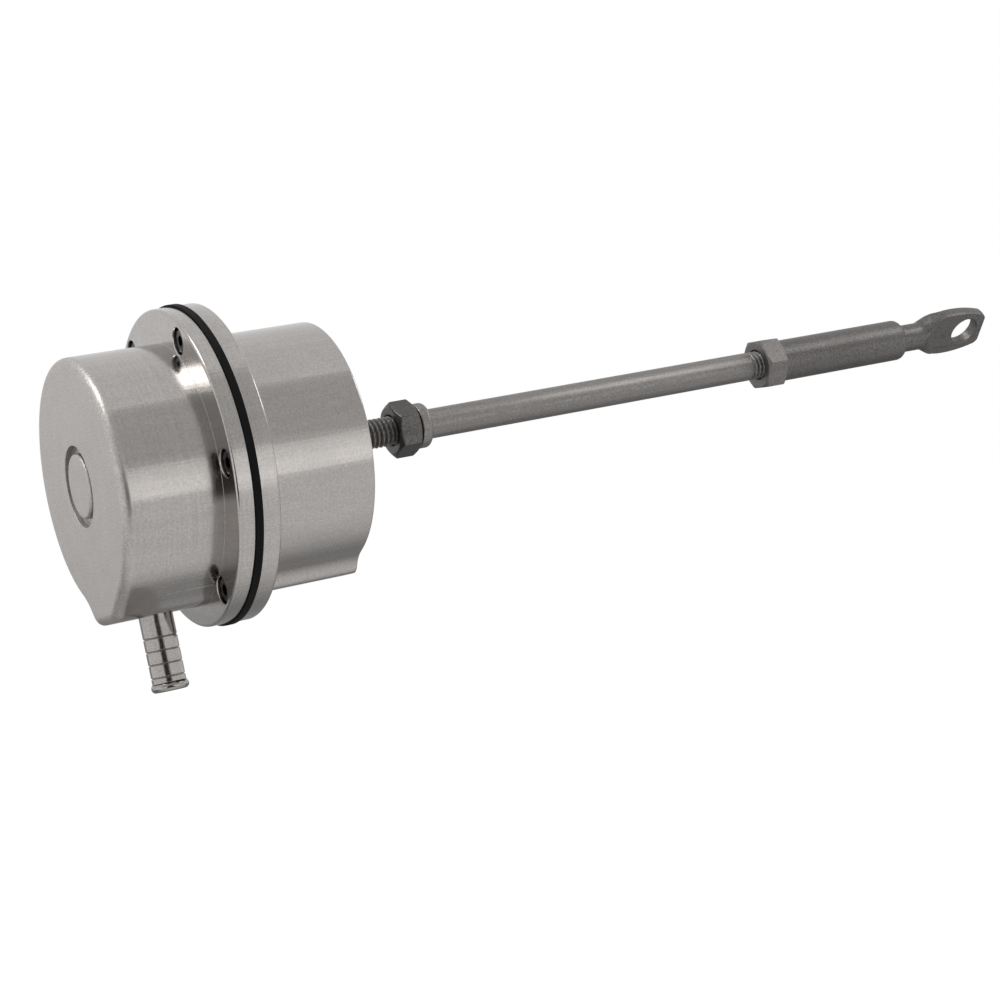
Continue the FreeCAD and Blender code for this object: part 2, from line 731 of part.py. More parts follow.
def make_wiper_circlip():
    """The spring ring that holds the wiper in the housing."""
    outer = WIPER_RADIUS + CIRCLIP_GROOVE_DEPTH
    end = CIRCLIP_START + CIRCLIP_THICKNESS
    ring = tube(CIRCLIP_START, end, outer, outer - CIRCLIP_WIDTH)
    opening = Part.makeCylinder(
        outer, CIRCLIP_THICKNESS, Vector(CIRCLIP_START, 0, 0), X_AXIS, CIRCLIP_GAP_ANGLE
    )
    return ring.cut(opening)


def make_housing_screws():
    """The socket head screws that hold the flanges together."""
    floor = CAP_FLANGE_FRONT + SCREW_POCKET_DEPTH
    head_top = floor - SCREW_HEAD_HEIGHT
    head = cylinder(head_top, floor, SCREW_HEAD_RADIUS)
    head = head.makeFillet(
        EDGE_BREAK,
        edges_where(head, lambda edge: is_ring(edge, head_top, SCREW_HEAD_RADIUS)),
    )
    shank = cylinder(floor, LOWER_FLANGE_BACK - SCREW_END_GAP, SCREW_RADIUS)
    socket = hexagon(head_top, SCREW_SOCKET_DEPTH, across_corners(SCREW_SOCKET_FLATS) / 2.0)
    screw = head.fuse(shank).removeSplitter().cut(socket)
    return Part.makeCompound(screw_places(screw))


def make_hose_nipple():
    """The hose nipple: grooved tube with a rolled bead, pressed into the cap."""
    face = SPOT_FACE_LEVEL
    tip = face + NIPPLE_LENGTH
    bead = tip - NIPPLE_BEAD_LENGTH
    land = NIPPLE_BEAD_RADIUS - NIPPLE_BEAD_ROUND
    path = [
        (face - NIPPLE_SPIGOT_LENGTH, NIPPLE_BORE_RADIUS),
        (face - NIPPLE_SPIGOT_LENGTH, NIPPLE_SPIGOT_RADIUS),
        (face, NIPPLE_SPIGOT_RADIUS),
        (face, NIPPLE_RADIUS),
    ]
    for index in range(NIPPLE_GROOVE_COUNT):
        count_back = NIPPLE_GROOVE_COUNT - 1 - index
        middle = bead - NIPPLE_GROOVE_WIDTH - count_back * NIPPLE_GROOVE_SPACING
        path += [
            (middle - NIPPLE_GROOVE_WIDTH / 2.0, NIPPLE_RADIUS),
            (middle, NIPPLE_RADIUS - NIPPLE_GROOVE_DEPTH),
            (middle + NIPPLE_GROOVE_WIDTH / 2.0, NIPPLE_RADIUS),
        ]
    path += [
        (bead, NIPPLE_RADIUS),
        (bead, land),
        corner_arc(bead + NIPPLE_BEAD_ROUND, land, NIPPLE_BEAD_ROUND, 180.0, 90.0),
        (tip - NIPPLE_BEAD_ROUND, NIPPLE_BEAD_RADIUS),
        corner_arc(tip - NIPPLE_BEAD_ROUND, land, NIPPLE_BEAD_ROUND, 90.0, 0.0),
        (tip, NIPPLE_BORE_RADIUS),
    ]
    return turned(path, -Z_AXIS, Vector(-NIPPLE_POSITION, 0, 0))


def make_extension_rod():
    """The long rod: collar, plain length and the thread for the rod end."""
    collar_end = COLLAR_START + COLLAR_LENGTH
    thread_radius = ROD_RADIUS - THREAD_UNDERSIZE
    path = [
        (COLLAR_START, 0),
        (COLLAR_START, COLLAR_RADIUS - EDGE_BREAK),
        (COLLAR_START + EDGE_BREAK, COLLAR_RADIUS),
        (collar_end - COLLAR_ROUND, COLLAR_RADIUS),
        corner_arc(collar_end - COLLAR_ROUND, COLLAR_RADIUS - COLLAR_ROUND, COLLAR_ROUND, 90.0, 0.0),
        (collar_end, ROD_RADIUS),
        (ROD_THREAD_START, ROD_RADIUS),
        (ROD_THREAD_START, thread_radius),
        (ROD_END_TIP - THREAD_RELIEF_DEPTH, thread_radius),
        (ROD_END_TIP, thread_radius - THREAD_RELIEF_DEPTH),
        (ROD_END_TIP, 0),
    ]
    hole_depth = SPIGOT_LENGTH + SPIGOT_HOLE_SPARE
    return turned(path).cut(drilled(hole_depth, SPIGOT_RADIUS + THREAD_CLEARANCE, COLLAR_START))


def bezier(*points):
    """An edge that leaves its first point and reaches its last along its handles."""
    curve = Part.BezierCurve()
    curve.setPoles(list(points))
    return curve.toShape()


def eye_outline():
    """The flattened eye seen square on: neck, shoulders, taper and a blunt tip."""
    shoulder = BARREL_END + EYE_SHOULDER_START
    widest = EYE_CENTRE - EYE_WIDEST_TO_HOLE
    run = widest - shoulder
    edges = []
    for side in (1.0, -1.0):
        edges.append(Part.LineSegment(
            Vector(BARREL_END, side * ROD_RADIUS, 0), Vector(shoulder, side * ROD_RADIUS, 0)
        ).toShape())
        edges.append(bezier(
            Vector(shoulder, side * ROD_RADIUS, 0),
            Vector(shoulder + EYE_SHOULDER_EASE * run, side * ROD_RADIUS, 0),
            Vector(widest - EYE_SHOULDER_SWEEP * run, side * EYE_HALF_WIDTH, 0),
            Vector(widest, side * EYE_HALF_WIDTH, 0),
        ))
        edges.append(bezier(
            Vector(widest, side * EYE_HALF_WIDTH, 0),
            Vector((widest + EYE_TIP) / 2.0, side * EYE_HALF_WIDTH, 0),
            Vector(EYE_TIP, side * EYE_TIP_HALF_WIDTH, 0),
        ))
    for place, half in ((BARREL_END, ROD_RADIUS), (EYE_TIP, EYE_TIP_HALF_WIDTH)):
        edges.append(Part.LineSegment(Vector(place, half, 0), Vector(place, -half, 0)).toShape())
    return Part.Face(Part.Wire(Part.sortEdges(edges)[0]))


def flattened_profile():
    """The eye seen on edge: a round neck that is pressed down to a flat plate."""
    half = EYE_THICKNESS / 2.0
    neck = BARREL_END + NECK_LENGTH
    flat = neck + EYE_FLATTENING_LENGTH
    end = EYE_TIP + EYE_HALF_WIDTH
    edges = []
    for side in (1.0, -1.0):
        curve = Part.BSplineCurve()
        curve.interpolate(
            Points=[Vector(neck, 0, side * ROD_RADIUS), Vector(flat, 0, side * half)],
            InitialTangent=X_AXIS,
            FinalTangent=X_AXIS,
        )
        edges.append(curve.toShape())
        edges.append(Part.LineSegment(
            Vector(BARREL_END, 0, side * ROD_RADIUS), Vector(neck, 0, side * ROD_RADIUS)
        ).toShape())
        edges.append(Part.LineSegment(
            Vector(flat, 0, side * half), Vector(end, 0, side * half)
        ).toShape())
    for place, level in ((BARREL_END, ROD_RADIUS), (end, half)):
        edges.append(Part.LineSegment(Vector(place, 0, level), Vector(place, 0, -level)).toShape())
    return Part.Face(Part.Wire(Part.sortEdges(edges)[0]))


def forged_eye():
    """The neck and the eye, forged flat from the round bar, before its hole."""
    depth = 2.0 * EYE_HALF_WIDTH
    plan = eye_outline()
    plan.translate(Vector(0, 0, -depth))
    plan = plan.extrude(Vector(0, 0, 2.0 * depth))
    side = flattened_profile()
    side.translate(Vector(0, -depth, 0))
    side = side.extrude(Vector(0, 2.0 * depth, 0))
    neck = BARREL_END + NECK_LENGTH
    flat = neck + EYE_FLATTENING_LENGTH
    far = EYE_TIP + depth
    swell = turned([
        (BARREL_END, 0),
        (BARREL_END, ROD_RADIUS),
        (neck, ROD_RADIUS),
        (flat, depth),
        (far, depth),
        (far, 0),
    ])
    eye = plan.common(side).common(swell)

    def at_tip_corner(edge):
        beyond = edge.BoundBox.XMin > EYE_TIP - ON_THE_SPOT
        return beyond and edge.BoundBox.ZLength > EYE_THICKNESS / 2.0

    eye = eye.makeFillet(EYE_TIP_CORNER_ROUND, edges_where(eye, at_tip_corner))

    def around_plate(edge):
        box = edge.BoundBox
        on_face = box.ZLength < ON_THE_SPOT and abs(abs(box.ZMin) - EYE_THICKNESS / 2.0) < ON_THE_SPOT
        return on_face and box.XMax > flat + ON_THE_SPOT

    return eye.makeFillet(EYE_EDGE_ROUND, edges_where(eye, around_plate))


def make_rod_end():
    """The rod end: tapped barrel, neck and an eye forged flat from the bar."""
    depth = EYE_THICKNESS
    hole = Part.makeCylinder(
        EYE_HOLE_RADIUS, 2.0 * depth, Vector(EYE_CENTRE, 0, -depth), Z_AXIS
    )
    eye = forged_eye().cut(hole)
    eye.rotate(ORIGIN, X_AXIS, EYE_CLOCKING)
    barrel = cylinder(BARREL_START, BARREL_END, BARREL_RADIUS)
    barrel = barrel.makeFillet(
        BARREL_TIP_ROUND,
        edges_where(barrel, lambda edge: is_ring(edge, BARREL_END, BARREL_RADIUS)),
    )
    barrel = barrel.makeChamfer(
        EDGE_BREAK,
        edges_where(barrel, lambda edge: is_ring(edge, BARREL_START, BARREL_RADIUS)),
    )
    bore = drilled(BARREL_BORE_DEPTH, THREADED_HOLE_RADIUS, BARREL_START)
    return barrel.fuse(eye).cut(bore)


PIECES = {
    "cap_housing": make_cap_housing,
    "lower_housing": make_lower_housing,
    "diaphragm": make_diaphragm,
    "piston": make_piston,
    "retainer_plate": make_retainer_plate,
    "piston_washer": make_piston_washer,
    "piston_nut": lambda: hex_nut(PISTON_NUT_START),
    "return_spring": make_return_spring,
    "spring_shim": make_spring_shim,
    "actuator_shaft": make_actuator_shaft,
    "guide_bush": make_guide_bush,
    "shaft_wiper": make_shaft_wiper,
    "wiper_circlip": make_wiper_circlip,
    "housing_screws": make_housing_screws,
    "hose_nipple": make_hose_nipple,
    "shaft_jam_nut": lambda: hex_nut(SHAFT_NUT_START),
    "extension_rod": make_extension_rod,
    "rod_jam_nut": lambda: hex_nut(ROD_NUT_START),
    "rod_end": make_rod_end,
}


def main():
    os.makedirs("parts", exist_ok=True)
    for name, make in PIECES.items():
        shape = make()
        shape.exportStep(os.path.join("parts", name + ".step"))
        print(name, "solids", len(shape.Solids), "valid", shape.isValid())


main()
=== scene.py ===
"""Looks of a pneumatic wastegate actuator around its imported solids.

The visible pieces are modelled again as fine meshes in millimetres, on the places
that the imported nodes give, and every piece gets its own procedural finish.
"""

import logging
import math
from dataclasses import dataclass, field
from enum import Enum
from typing import Any, Callable, Iterable, Sequence

import bmesh
import bpy
from mathutils import Matrix, Vector


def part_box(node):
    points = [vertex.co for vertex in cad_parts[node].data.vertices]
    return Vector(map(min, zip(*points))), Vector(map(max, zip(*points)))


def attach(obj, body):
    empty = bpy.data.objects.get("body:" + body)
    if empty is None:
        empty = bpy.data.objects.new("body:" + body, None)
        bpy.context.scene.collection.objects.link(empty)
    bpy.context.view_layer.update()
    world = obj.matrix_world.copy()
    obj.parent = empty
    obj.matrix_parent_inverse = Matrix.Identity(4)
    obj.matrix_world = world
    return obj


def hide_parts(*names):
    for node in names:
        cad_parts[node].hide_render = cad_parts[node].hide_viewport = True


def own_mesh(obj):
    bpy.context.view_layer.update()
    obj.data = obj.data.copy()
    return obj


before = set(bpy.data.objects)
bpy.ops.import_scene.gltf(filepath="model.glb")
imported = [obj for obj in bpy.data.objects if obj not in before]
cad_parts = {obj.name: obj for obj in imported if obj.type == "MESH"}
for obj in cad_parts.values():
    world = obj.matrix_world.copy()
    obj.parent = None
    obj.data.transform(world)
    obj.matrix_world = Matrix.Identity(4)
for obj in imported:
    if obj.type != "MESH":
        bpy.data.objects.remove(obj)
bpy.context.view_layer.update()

MM = 0.001
FULL_TURN = 2.0 * math.pi
MERGE_DISTANCE = 1e-4
PACKED_MERGE_DISTANCE = 1e-7
SHARP_ANGLE = math.radians(32.0)
BEVEL_ANGLE = math.radians(28.0)
ROUND_STEPS = 8
SUPPORT_GAP = 0.08
X_AXIS = Vector((1.0, 0.0, 0.0))
ORIGIN = Vector((0.0, 0.0, 0.0))
X_TO_DOWN = Matrix.Rotation(math.pi / 2.0, 4, "Y")
WHITE = (1.0, 1.0, 1.0, 1.0)

log = logging.getLogger("actuator")


class Body(Enum):
    """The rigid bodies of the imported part."""

    CASING = "casing"
    PUSH_ROD = "push_rod"
    ADJUSTER = "adjuster"
    ROD_EYE = "rod_eye"


class Slot(Enum):
    """The material slots of the record."""

    TURNED_ALUMINIUM = "turned_aluminium"
    PLAIN_ALUMINIUM = "plain_aluminium"
    BLACK_RUBBER = "black_rubber"
    ZINC_STEEL = "zinc_steel"
    SPRING_STEEL = "spring_steel"
    STAINLESS = "stainless"
    BRONZE = "bronze"
    SCREW_STEEL = "screw_steel"
    NICKEL = "nickel"
    DARK_NUT_STEEL = "dark_nut_steel"
    BRIGHT_NUT_STEEL = "bright_nut_steel"


@dataclass(frozen=True)
class Corner:
    """A corner of an outline: place along the axis, distance from it, rounding."""

    along: float
    out: float
    round: float = 0.0

    @property
    def point(self) -> Vector:
        """The corner as a flat vector."""
        return Vector((self.along, self.out))


@dataclass(frozen=True)
class Extent:
    """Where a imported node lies, in millimetres."""

    low: Vector
    high: Vector

    @classmethod
    def of(cls, node: str) -> "Extent":
        """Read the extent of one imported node."""
        low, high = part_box(node)
        return cls(Vector(low) / MM, Vector(high) / MM)


def rounded(corner: Corner, before: Corner, after: Corner) -> list[Vector]:
    """Replace a corner by an arc that touches its two sides.

    Args:
        corner: The corner with its rounding radius.
        before: The corner that the outline comes from.
        after: The corner that the outline goes to.

    Returns:
        The points of the arc, with one more point just outside each end.
    """
    back = (before.point - corner.point).normalized()
    ahead = (after.point - corner.point).normalized()
    half = back.angle(ahead) / 2.0
    reach = corner.round / math.tan(half)
    centre = corner.point + (back + ahead).normalized() * (corner.round / math.sin(half))
    start = corner.point + back * reach - centre
    end = corner.point + ahead * reach - centre
    sweep = start.angle_signed(end)
    arc = []
    for index in range(ROUND_STEPS + 1):
        turn = Matrix.Rotation(-sweep * index / ROUND_STEPS, 2)
        arc.append(centre + turn @ start)
    first = arc[0] + back * SUPPORT_GAP
    last = arc[-1] + ahead * SUPPORT_GAP
    return [first] + arc + [last]


def outline(corners: Sequence[Corner], closed: bool = False) -> list[Vector]:
    """Work out the points of an outline from its corners.

    Args:
        corners: The corners in order.
        closed: Whether the last corner joins the first.

    Returns:
        The points, with an arc at each rounded corner.
    """
    points: list[Vector] = []
    last = len(corners) - 1
    for index, corner in enumerate(corners):
        at_end = not closed and index in (0, last)
        if corner.round == 0.0 or at_end:
            points.append(corner.point)
            continue
        before = corners[index - 1]
        after = corners[(index + 1) % len(corners)]
        points.extend(rounded(corner, before, after))
    return points


def subdivided(start: Vector, end: Vector, step: float) -> list[Vector]:
    """Points from start to end, both included, no further apart than a step."""
    count = max(1, math.ceil((end - start).length / step))
    return [start.lerp(end, index / count) for index in range(count + 1)]


def curve(poles: Sequence[Vector], steps: int) -> list[Vector]:
    """Points on the Bezier curve of some poles.

    Args:
        poles: The poles, the ends included.
        steps: How many steps the curve is cut into.

    Returns:
        The points, both ends included.
    """
    points = []
    for index in range(steps + 1):
        share = index / steps
        level = list(poles)
        while len(level) > 1:
            level = [first.lerp(second, share) for first, second in zip(level, level[1:])]
        points.append(level[0])
    return points


def spun(points: Sequence[Vector], steps: int, closed: bool = False) -> bmesh.types.BMesh:
    """Spin an outline about the X axis.

    Args:
        points: The outline, each point (along, out).
        steps: Number of steps around the turn.
        closed: Whether the last point joins the first.

    Returns:
        The merged mesh with its faces pointing outwards.
    """
    mesh = bmesh.new()
    verts = [mesh.verts.new((point.x, 0.0, point.y)) for point in points]
    pairs = list(zip(verts, verts[1:]))
    if closed:
        pairs.append((verts[-1], verts[0]))
    edges = [mesh.edges.new(pair) for pair in pairs]
    bmesh.ops.spin(
        mesh, geom=verts + edges, cent=ORIGIN, axis=X_AXIS, dvec=ORIGIN,
        angle=FULL_TURN, steps=steps, use_merge=True, use_normal_flip=False, use_duplicate=False,
    )
    cleaned(mesh)
    return mesh


def cleaned(mesh: bmesh.types.BMesh) -> None:
    """Merge doubled points, drop empty faces and point the faces outwards.

    Args:
        mesh: The mesh, which is changed in place.
    """
    bmesh.ops.remove_doubles(mesh, verts=mesh.verts[:], dist=MERGE_DISTANCE)
    bmesh.ops.dissolve_degenerate(mesh, dist=MERGE_DISTANCE, edges=mesh.edges[:])
    bmesh.ops.recalc_face_normals(mesh, faces=mesh.faces[:])


def turned(corners: Sequence[Corner], steps: int, closed: bool = False) -> bmesh.types.BMesh:
    """Spin the outline that some corners give."""
    return spun(outline(corners, closed), steps, closed)


def moved(mesh: bmesh.types.BMesh, matrix: Matrix) -> bmesh.types.BMesh:
    """Move a whole mesh and give it back."""
    bmesh.ops.transform(mesh, matrix=matrix, verts=mesh.verts[:])
    return mesh


def merged(meshes: Iterable[bmesh.types.BMesh]) -> bmesh.types.BMesh:
    """Join several meshes into one and free them.

    Args:
        meshes: The meshes, which are used up.

    Returns:
        One mesh with all of them.
    """
    whole = bmesh.new()
    for part in meshes:
        flat = bpy.data.meshes.new("part")
        part.to_mesh(flat)
        part.free()
        whole.from_mesh(flat)
        bpy.data.meshes.remove(flat)
    return whole


def as_object(name: str, mesh: bmesh.types.BMesh) -> bpy.types.Object:
    """Turn a mesh into a linked object and free it.

    Args:
        name: Name of the object and its data.
        mesh: Its shape, in the object's own units.

    Returns:
        The object.
    """
    data = bpy.data.meshes.new(name)
    mesh.to_mesh(data)
    mesh.free()
    made = bpy.data.objects.new(name, data)
    bpy.context.scene.collection.objects.link(made)
    return made


def copy_of(node: str) -> bmesh.types.BMesh:
    """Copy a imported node's mesh, in millimetres.

    Args:
        node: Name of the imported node.

    Returns:
        The copy, with its points merged.
    """
    mesh = bmesh.new()
    mesh.from_mesh(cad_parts[node].data)
    bmesh.ops.remove_doubles(mesh, verts=mesh.verts[:], dist=PACKED_MERGE_DISTANCE)
    bmesh.ops.recalc_face_normals(mesh, faces=mesh.faces[:])
    bmesh.ops.scale(mesh, vec=(1.0 / MM, 1.0 / MM, 1.0 / MM), verts=mesh.verts[:])
    return mesh


def carved(mesh: bmesh.types.BMesh, cutters: bmesh.types.BMesh) -> bmesh.types.BMesh:
    """Cut the solids of one mesh out of another.

    Args:
        mesh: The solid that is cut.
        cutters: The solids that are taken away.

    Returns:
        A new mesh without the cut space.
    """
    body = as_object("carved_body", mesh)
    tool = as_object("carving_tool", cutters)
    modifier = body.modifiers.new("cut", "BOOLEAN")
    modifier.operation = "DIFFERENCE"
    modifier.solver = "EXACT"
    modifier.object = tool
    graph = bpy.context.evaluated_depsgraph_get()
    result = bmesh.new()
    result.from_object(body, graph)
    for used in (body, tool):
        data = used.data
        bpy.data.objects.remove(used)
        bpy.data.meshes.remove(data)
    bmesh.ops.remove_doubles(result, verts=result.verts[:], dist=MERGE_DISTANCE)
    return result


def around_axis(make: Callable[[], bmesh.types.BMesh], count: int, first: float) -> bmesh.types.BMesh:
    """Copies of a tool, evenly spaced about the rod axis.

    Args:
        make: Makes one tool in its first place.
        count: How many copies.
        first: Angle of the first copy in degrees.

    Returns:
        All copies in one mesh.
    """
    copies = []
    for index in range(count):
        angle = math.radians(first) + index * FULL_TURN / count
        copies.append(moved(make(), Matrix.Rotation(angle, 4, "X")))
    return merged(copies)


def smooth_max(a: float, b: float, width: float) -> float:
    """The larger of two numbers, blended where they are closer than a width."""
    share = max(width - abs(a - b), 0.0) / width
    return max(a, b) + share * share * width / 4.0


def smooth_min(a: float, b: float, width: float) -> float:
    """The smaller of two numbers, blended where they are closer than a width."""
    return -smooth_max(-a, -b, width)


def smooth_step(low: float, high: float, value: float) -> float:
    """Rise from 0 to 1 between two values, flat at both ends."""
    share = min(max((value - low) / (high - low), 0.0), 1.0)
    return share * share * (3.0 - 2.0 * share)


@dataclass(frozen=True)
class Flank:
    """One side of a ridge: its normal's angle from straight down, distance from the axis."""

    lean: float
    offset: float
    blend: float
    fall: float = 14.0
    steepest: float = -1.4

    def reach(self, turn: float) -> float:
        """Distance from the axis to the flank, in a direction turned from straight down.

        Args:
            turn: The direction's angle from straight down, towards the flank.

        Returns:
            The distance, which falls off beyond the flank's foot.
        """
        lean = math.radians(self.lean)
        beyond = max(turn - lean, 0.0)
        aside = max(min(turn, lean) - lean, self.steepest)
        return self.offset / math.cos(aside) - beyond * beyond * self.fall


@dataclass(frozen=True)
class Skin:
    """The outside of a turned housing between its closed end and its flange."""

    end: float
    length: float
    plate: float
    wall: float
    flange_foot: float
    inner: float = 20.0
    margin: float = 0.5

    def covers(self, along: float, reach: float) -> bool:
        """Tell whether a point of the housing is on the skin.

        Args:
            along: Place along the rod.
            reach: Distance from its axis.

        Returns:
            True outside the wall and on the end plate, away from the flange.
        """
        depth = abs(along - self.end)
        outside = reach > self.wall or depth < self.plate
        return outside and self.inner < reach < self.flange_foot and depth < self.length - self.margin


@dataclass(frozen=True)
class Ridge:
    """The raised land along a housing's underside, seen along the rod."""

    body_radius: float
    crest: float
    near: Flank
    far: Flank
    foot_blend: float

    def radius(self, across: float, down: float) -> float:
        """Distance of the ridged outline from the axis in one direction.

        Args:
            across: Sine of the direction's angle from straight down.
            down: Cosine of that angle.

        Returns:
            The distance in millimetres.
        """
        if down <= 0.0:
            return self.body_radius
        turn = math.atan2(across, down)
        ridge = smooth_min(self.crest / down, self.near.reach(-turn), self.near.blend)
        ridge = smooth_min(ridge, self.far.reach(turn), self.far.blend)
        return smooth_max(self.body_radius, ridge, self.foot_blend)

    def raise_skin(self, mesh: bmesh.types.BMesh, skin: Skin) -> None:
        """Push the skin of a turned housing out to the ridge.

        Args:
            mesh: The turned housing.
            skin: Which of its points are on the outside.
        """
        for vert in mesh.verts:
            reach = math.hypot(vert.co.y, vert.co.z)
            if not skin.covers(vert.co.x, reach):
                continue
            out = Vector((0.0, vert.co.y, vert.co.z)) / reach
            grown = self.radius(out.y, -out.z) - self.body_radius
            vert.co += out * grown


@dataclass(frozen=True)
class Thread:
    """A metric thread cut into a turned rod."""

    start: float
    end: float
    major: float
    pitch: float = 1.0
    depth: float = 0.6
    flat_share: float = 0.14
    runout: float = 0.7
    steps_per_pitch: int = 14

    @property
    def step(self) -> float:
        """Distance between two rings of points along the thread."""
        return self.pitch / self.steps_per_pitch

    def rings(self, level: float, lead: float = 0.1, tail: float = 0.0) -> list[Vector]:
        """Outline points along the thread, close enough to take its groove.

        Args:
            level: Their distance from the axis.
            lead: How far after the thread's start they begin.
            tail: How far before its end they stop.

        Returns:
            The points.
        """
        first = Vector((self.start + lead, level))
        return subdivided(first, Vector((self.end - tail, level)), self.step)

    def groove(self, along: float, turn: float) -> float:
        """Depth of the groove at one place.

        Args:
            along: Place along the rod.
            turn: Share of a full turn around it.

        Returns:
            The depth in millimetres.
        """
        phase = (along / self.pitch - turn) % 1.0
        rise = abs(phase - 0.5) * 2.0
        level = min(max((rise - self.flat_share) / (1.0 - 2.0 * self.flat_share), 0.0), 1.0)
        begun = smooth_step(self.start, self.start + self.runout, along)
        ended = 1.0 - smooth_step(self.end - self.runout, self.end, along)
        return self.depth * level * begun * ended

    def cut(self, mesh: bmesh.types.BMesh) -> None:
        """Press the groove into the points of a turned rod.

        Args:
            mesh: The turned rod, which is changed in place.
        """
        for vert in mesh.verts:
            reach = math.hypot(vert.co.y, vert.co.z)
            inside = self.start <= vert.co.x <= self.end
            if not inside or reach < self.major / 2.0:
                continue
            turn = math.atan2(vert.co.z, vert.co.y) / FULL_TURN
            share = (reach - self.groove(vert.co.x, turn)) / reach
            vert.co.y *= share
            vert.co.z *= share


class Wire:
    """One shader output that can be used in a Python expression."""

    def __init__(self, tree: "Tree", socket: Any) -> None:
        """Wrap a socket of a tree."""
        self.tree = tree
        self.socket = socket

    def math(self, operation: str, *values: Any, clamp: bool = False) -> "Wire":
        """Add a Math node that works on some values.

        Args:
            operation: The node's operation.
            values: Its inputs in order.
            clamp: Whether the result is held between 0 and 1.

        Returns:
            The node's output.
        """
        settings = {"operation": operation, "use_clamp": clamp}
        return self.tree.node("ShaderNodeMath", settings, dict(enumerate(values))).out()

    def __add__(self, other: Any) -> "Wire":
        """Sum."""
        return self.math("ADD", self, other)

    __radd__ = __add__

    def __sub__(self, other: Any) -> "Wire":
        """Difference."""
        return self.math("SUBTRACT", self, other)

    def __rsub__(self, other: Any) -> "Wire":
        """Difference, with the wire taken away."""
        return self.math("SUBTRACT", other, self)

    def __mul__(self, other: Any) -> "Wire":
        """Product."""
        return self.math("MULTIPLY", self, other)

    __rmul__ = __mul__

    def __pow__(self, other: Any) -> "Wire":
        """Power."""
        return self.math("POWER", self, other)

    def clamped(self) -> "Wire":
        """Hold the value between 0 and 1."""
        return self.math("ADD", self, 0.0, clamp=True)

    def ramp(self, low: float, high: float, to_low: float = 0.0, to_high: float = 1.0) -> "Wire":
        """Smooth step from one level to another.

        Args:
            low: Value where the rise starts.
            high: Value where it ends.
            to_low: Level below the rise.
            to_high: Level above it.

        Returns:
            The blended level.
        """
        settings = {"interpolation_type": "SMOOTHSTEP"}
        inputs = {"Value": self, "From Min": low, "From Max": high, "To Min": to_low, "To Max": to_high}
        return self.tree.node("ShaderNodeMapRange", settings, inputs).out()


class Node:
    """A made node whose outputs can be taken by name or number."""

    def __init__(self, tree: "Tree", node: Any) -> None:
        """Wrap a node of a tree."""
        self.tree = tree
        self.node = node

    def out(self, key: Any = 0) -> Wire:
        """One output of the node."""
        return Wire(self.tree, self.node.outputs[key])


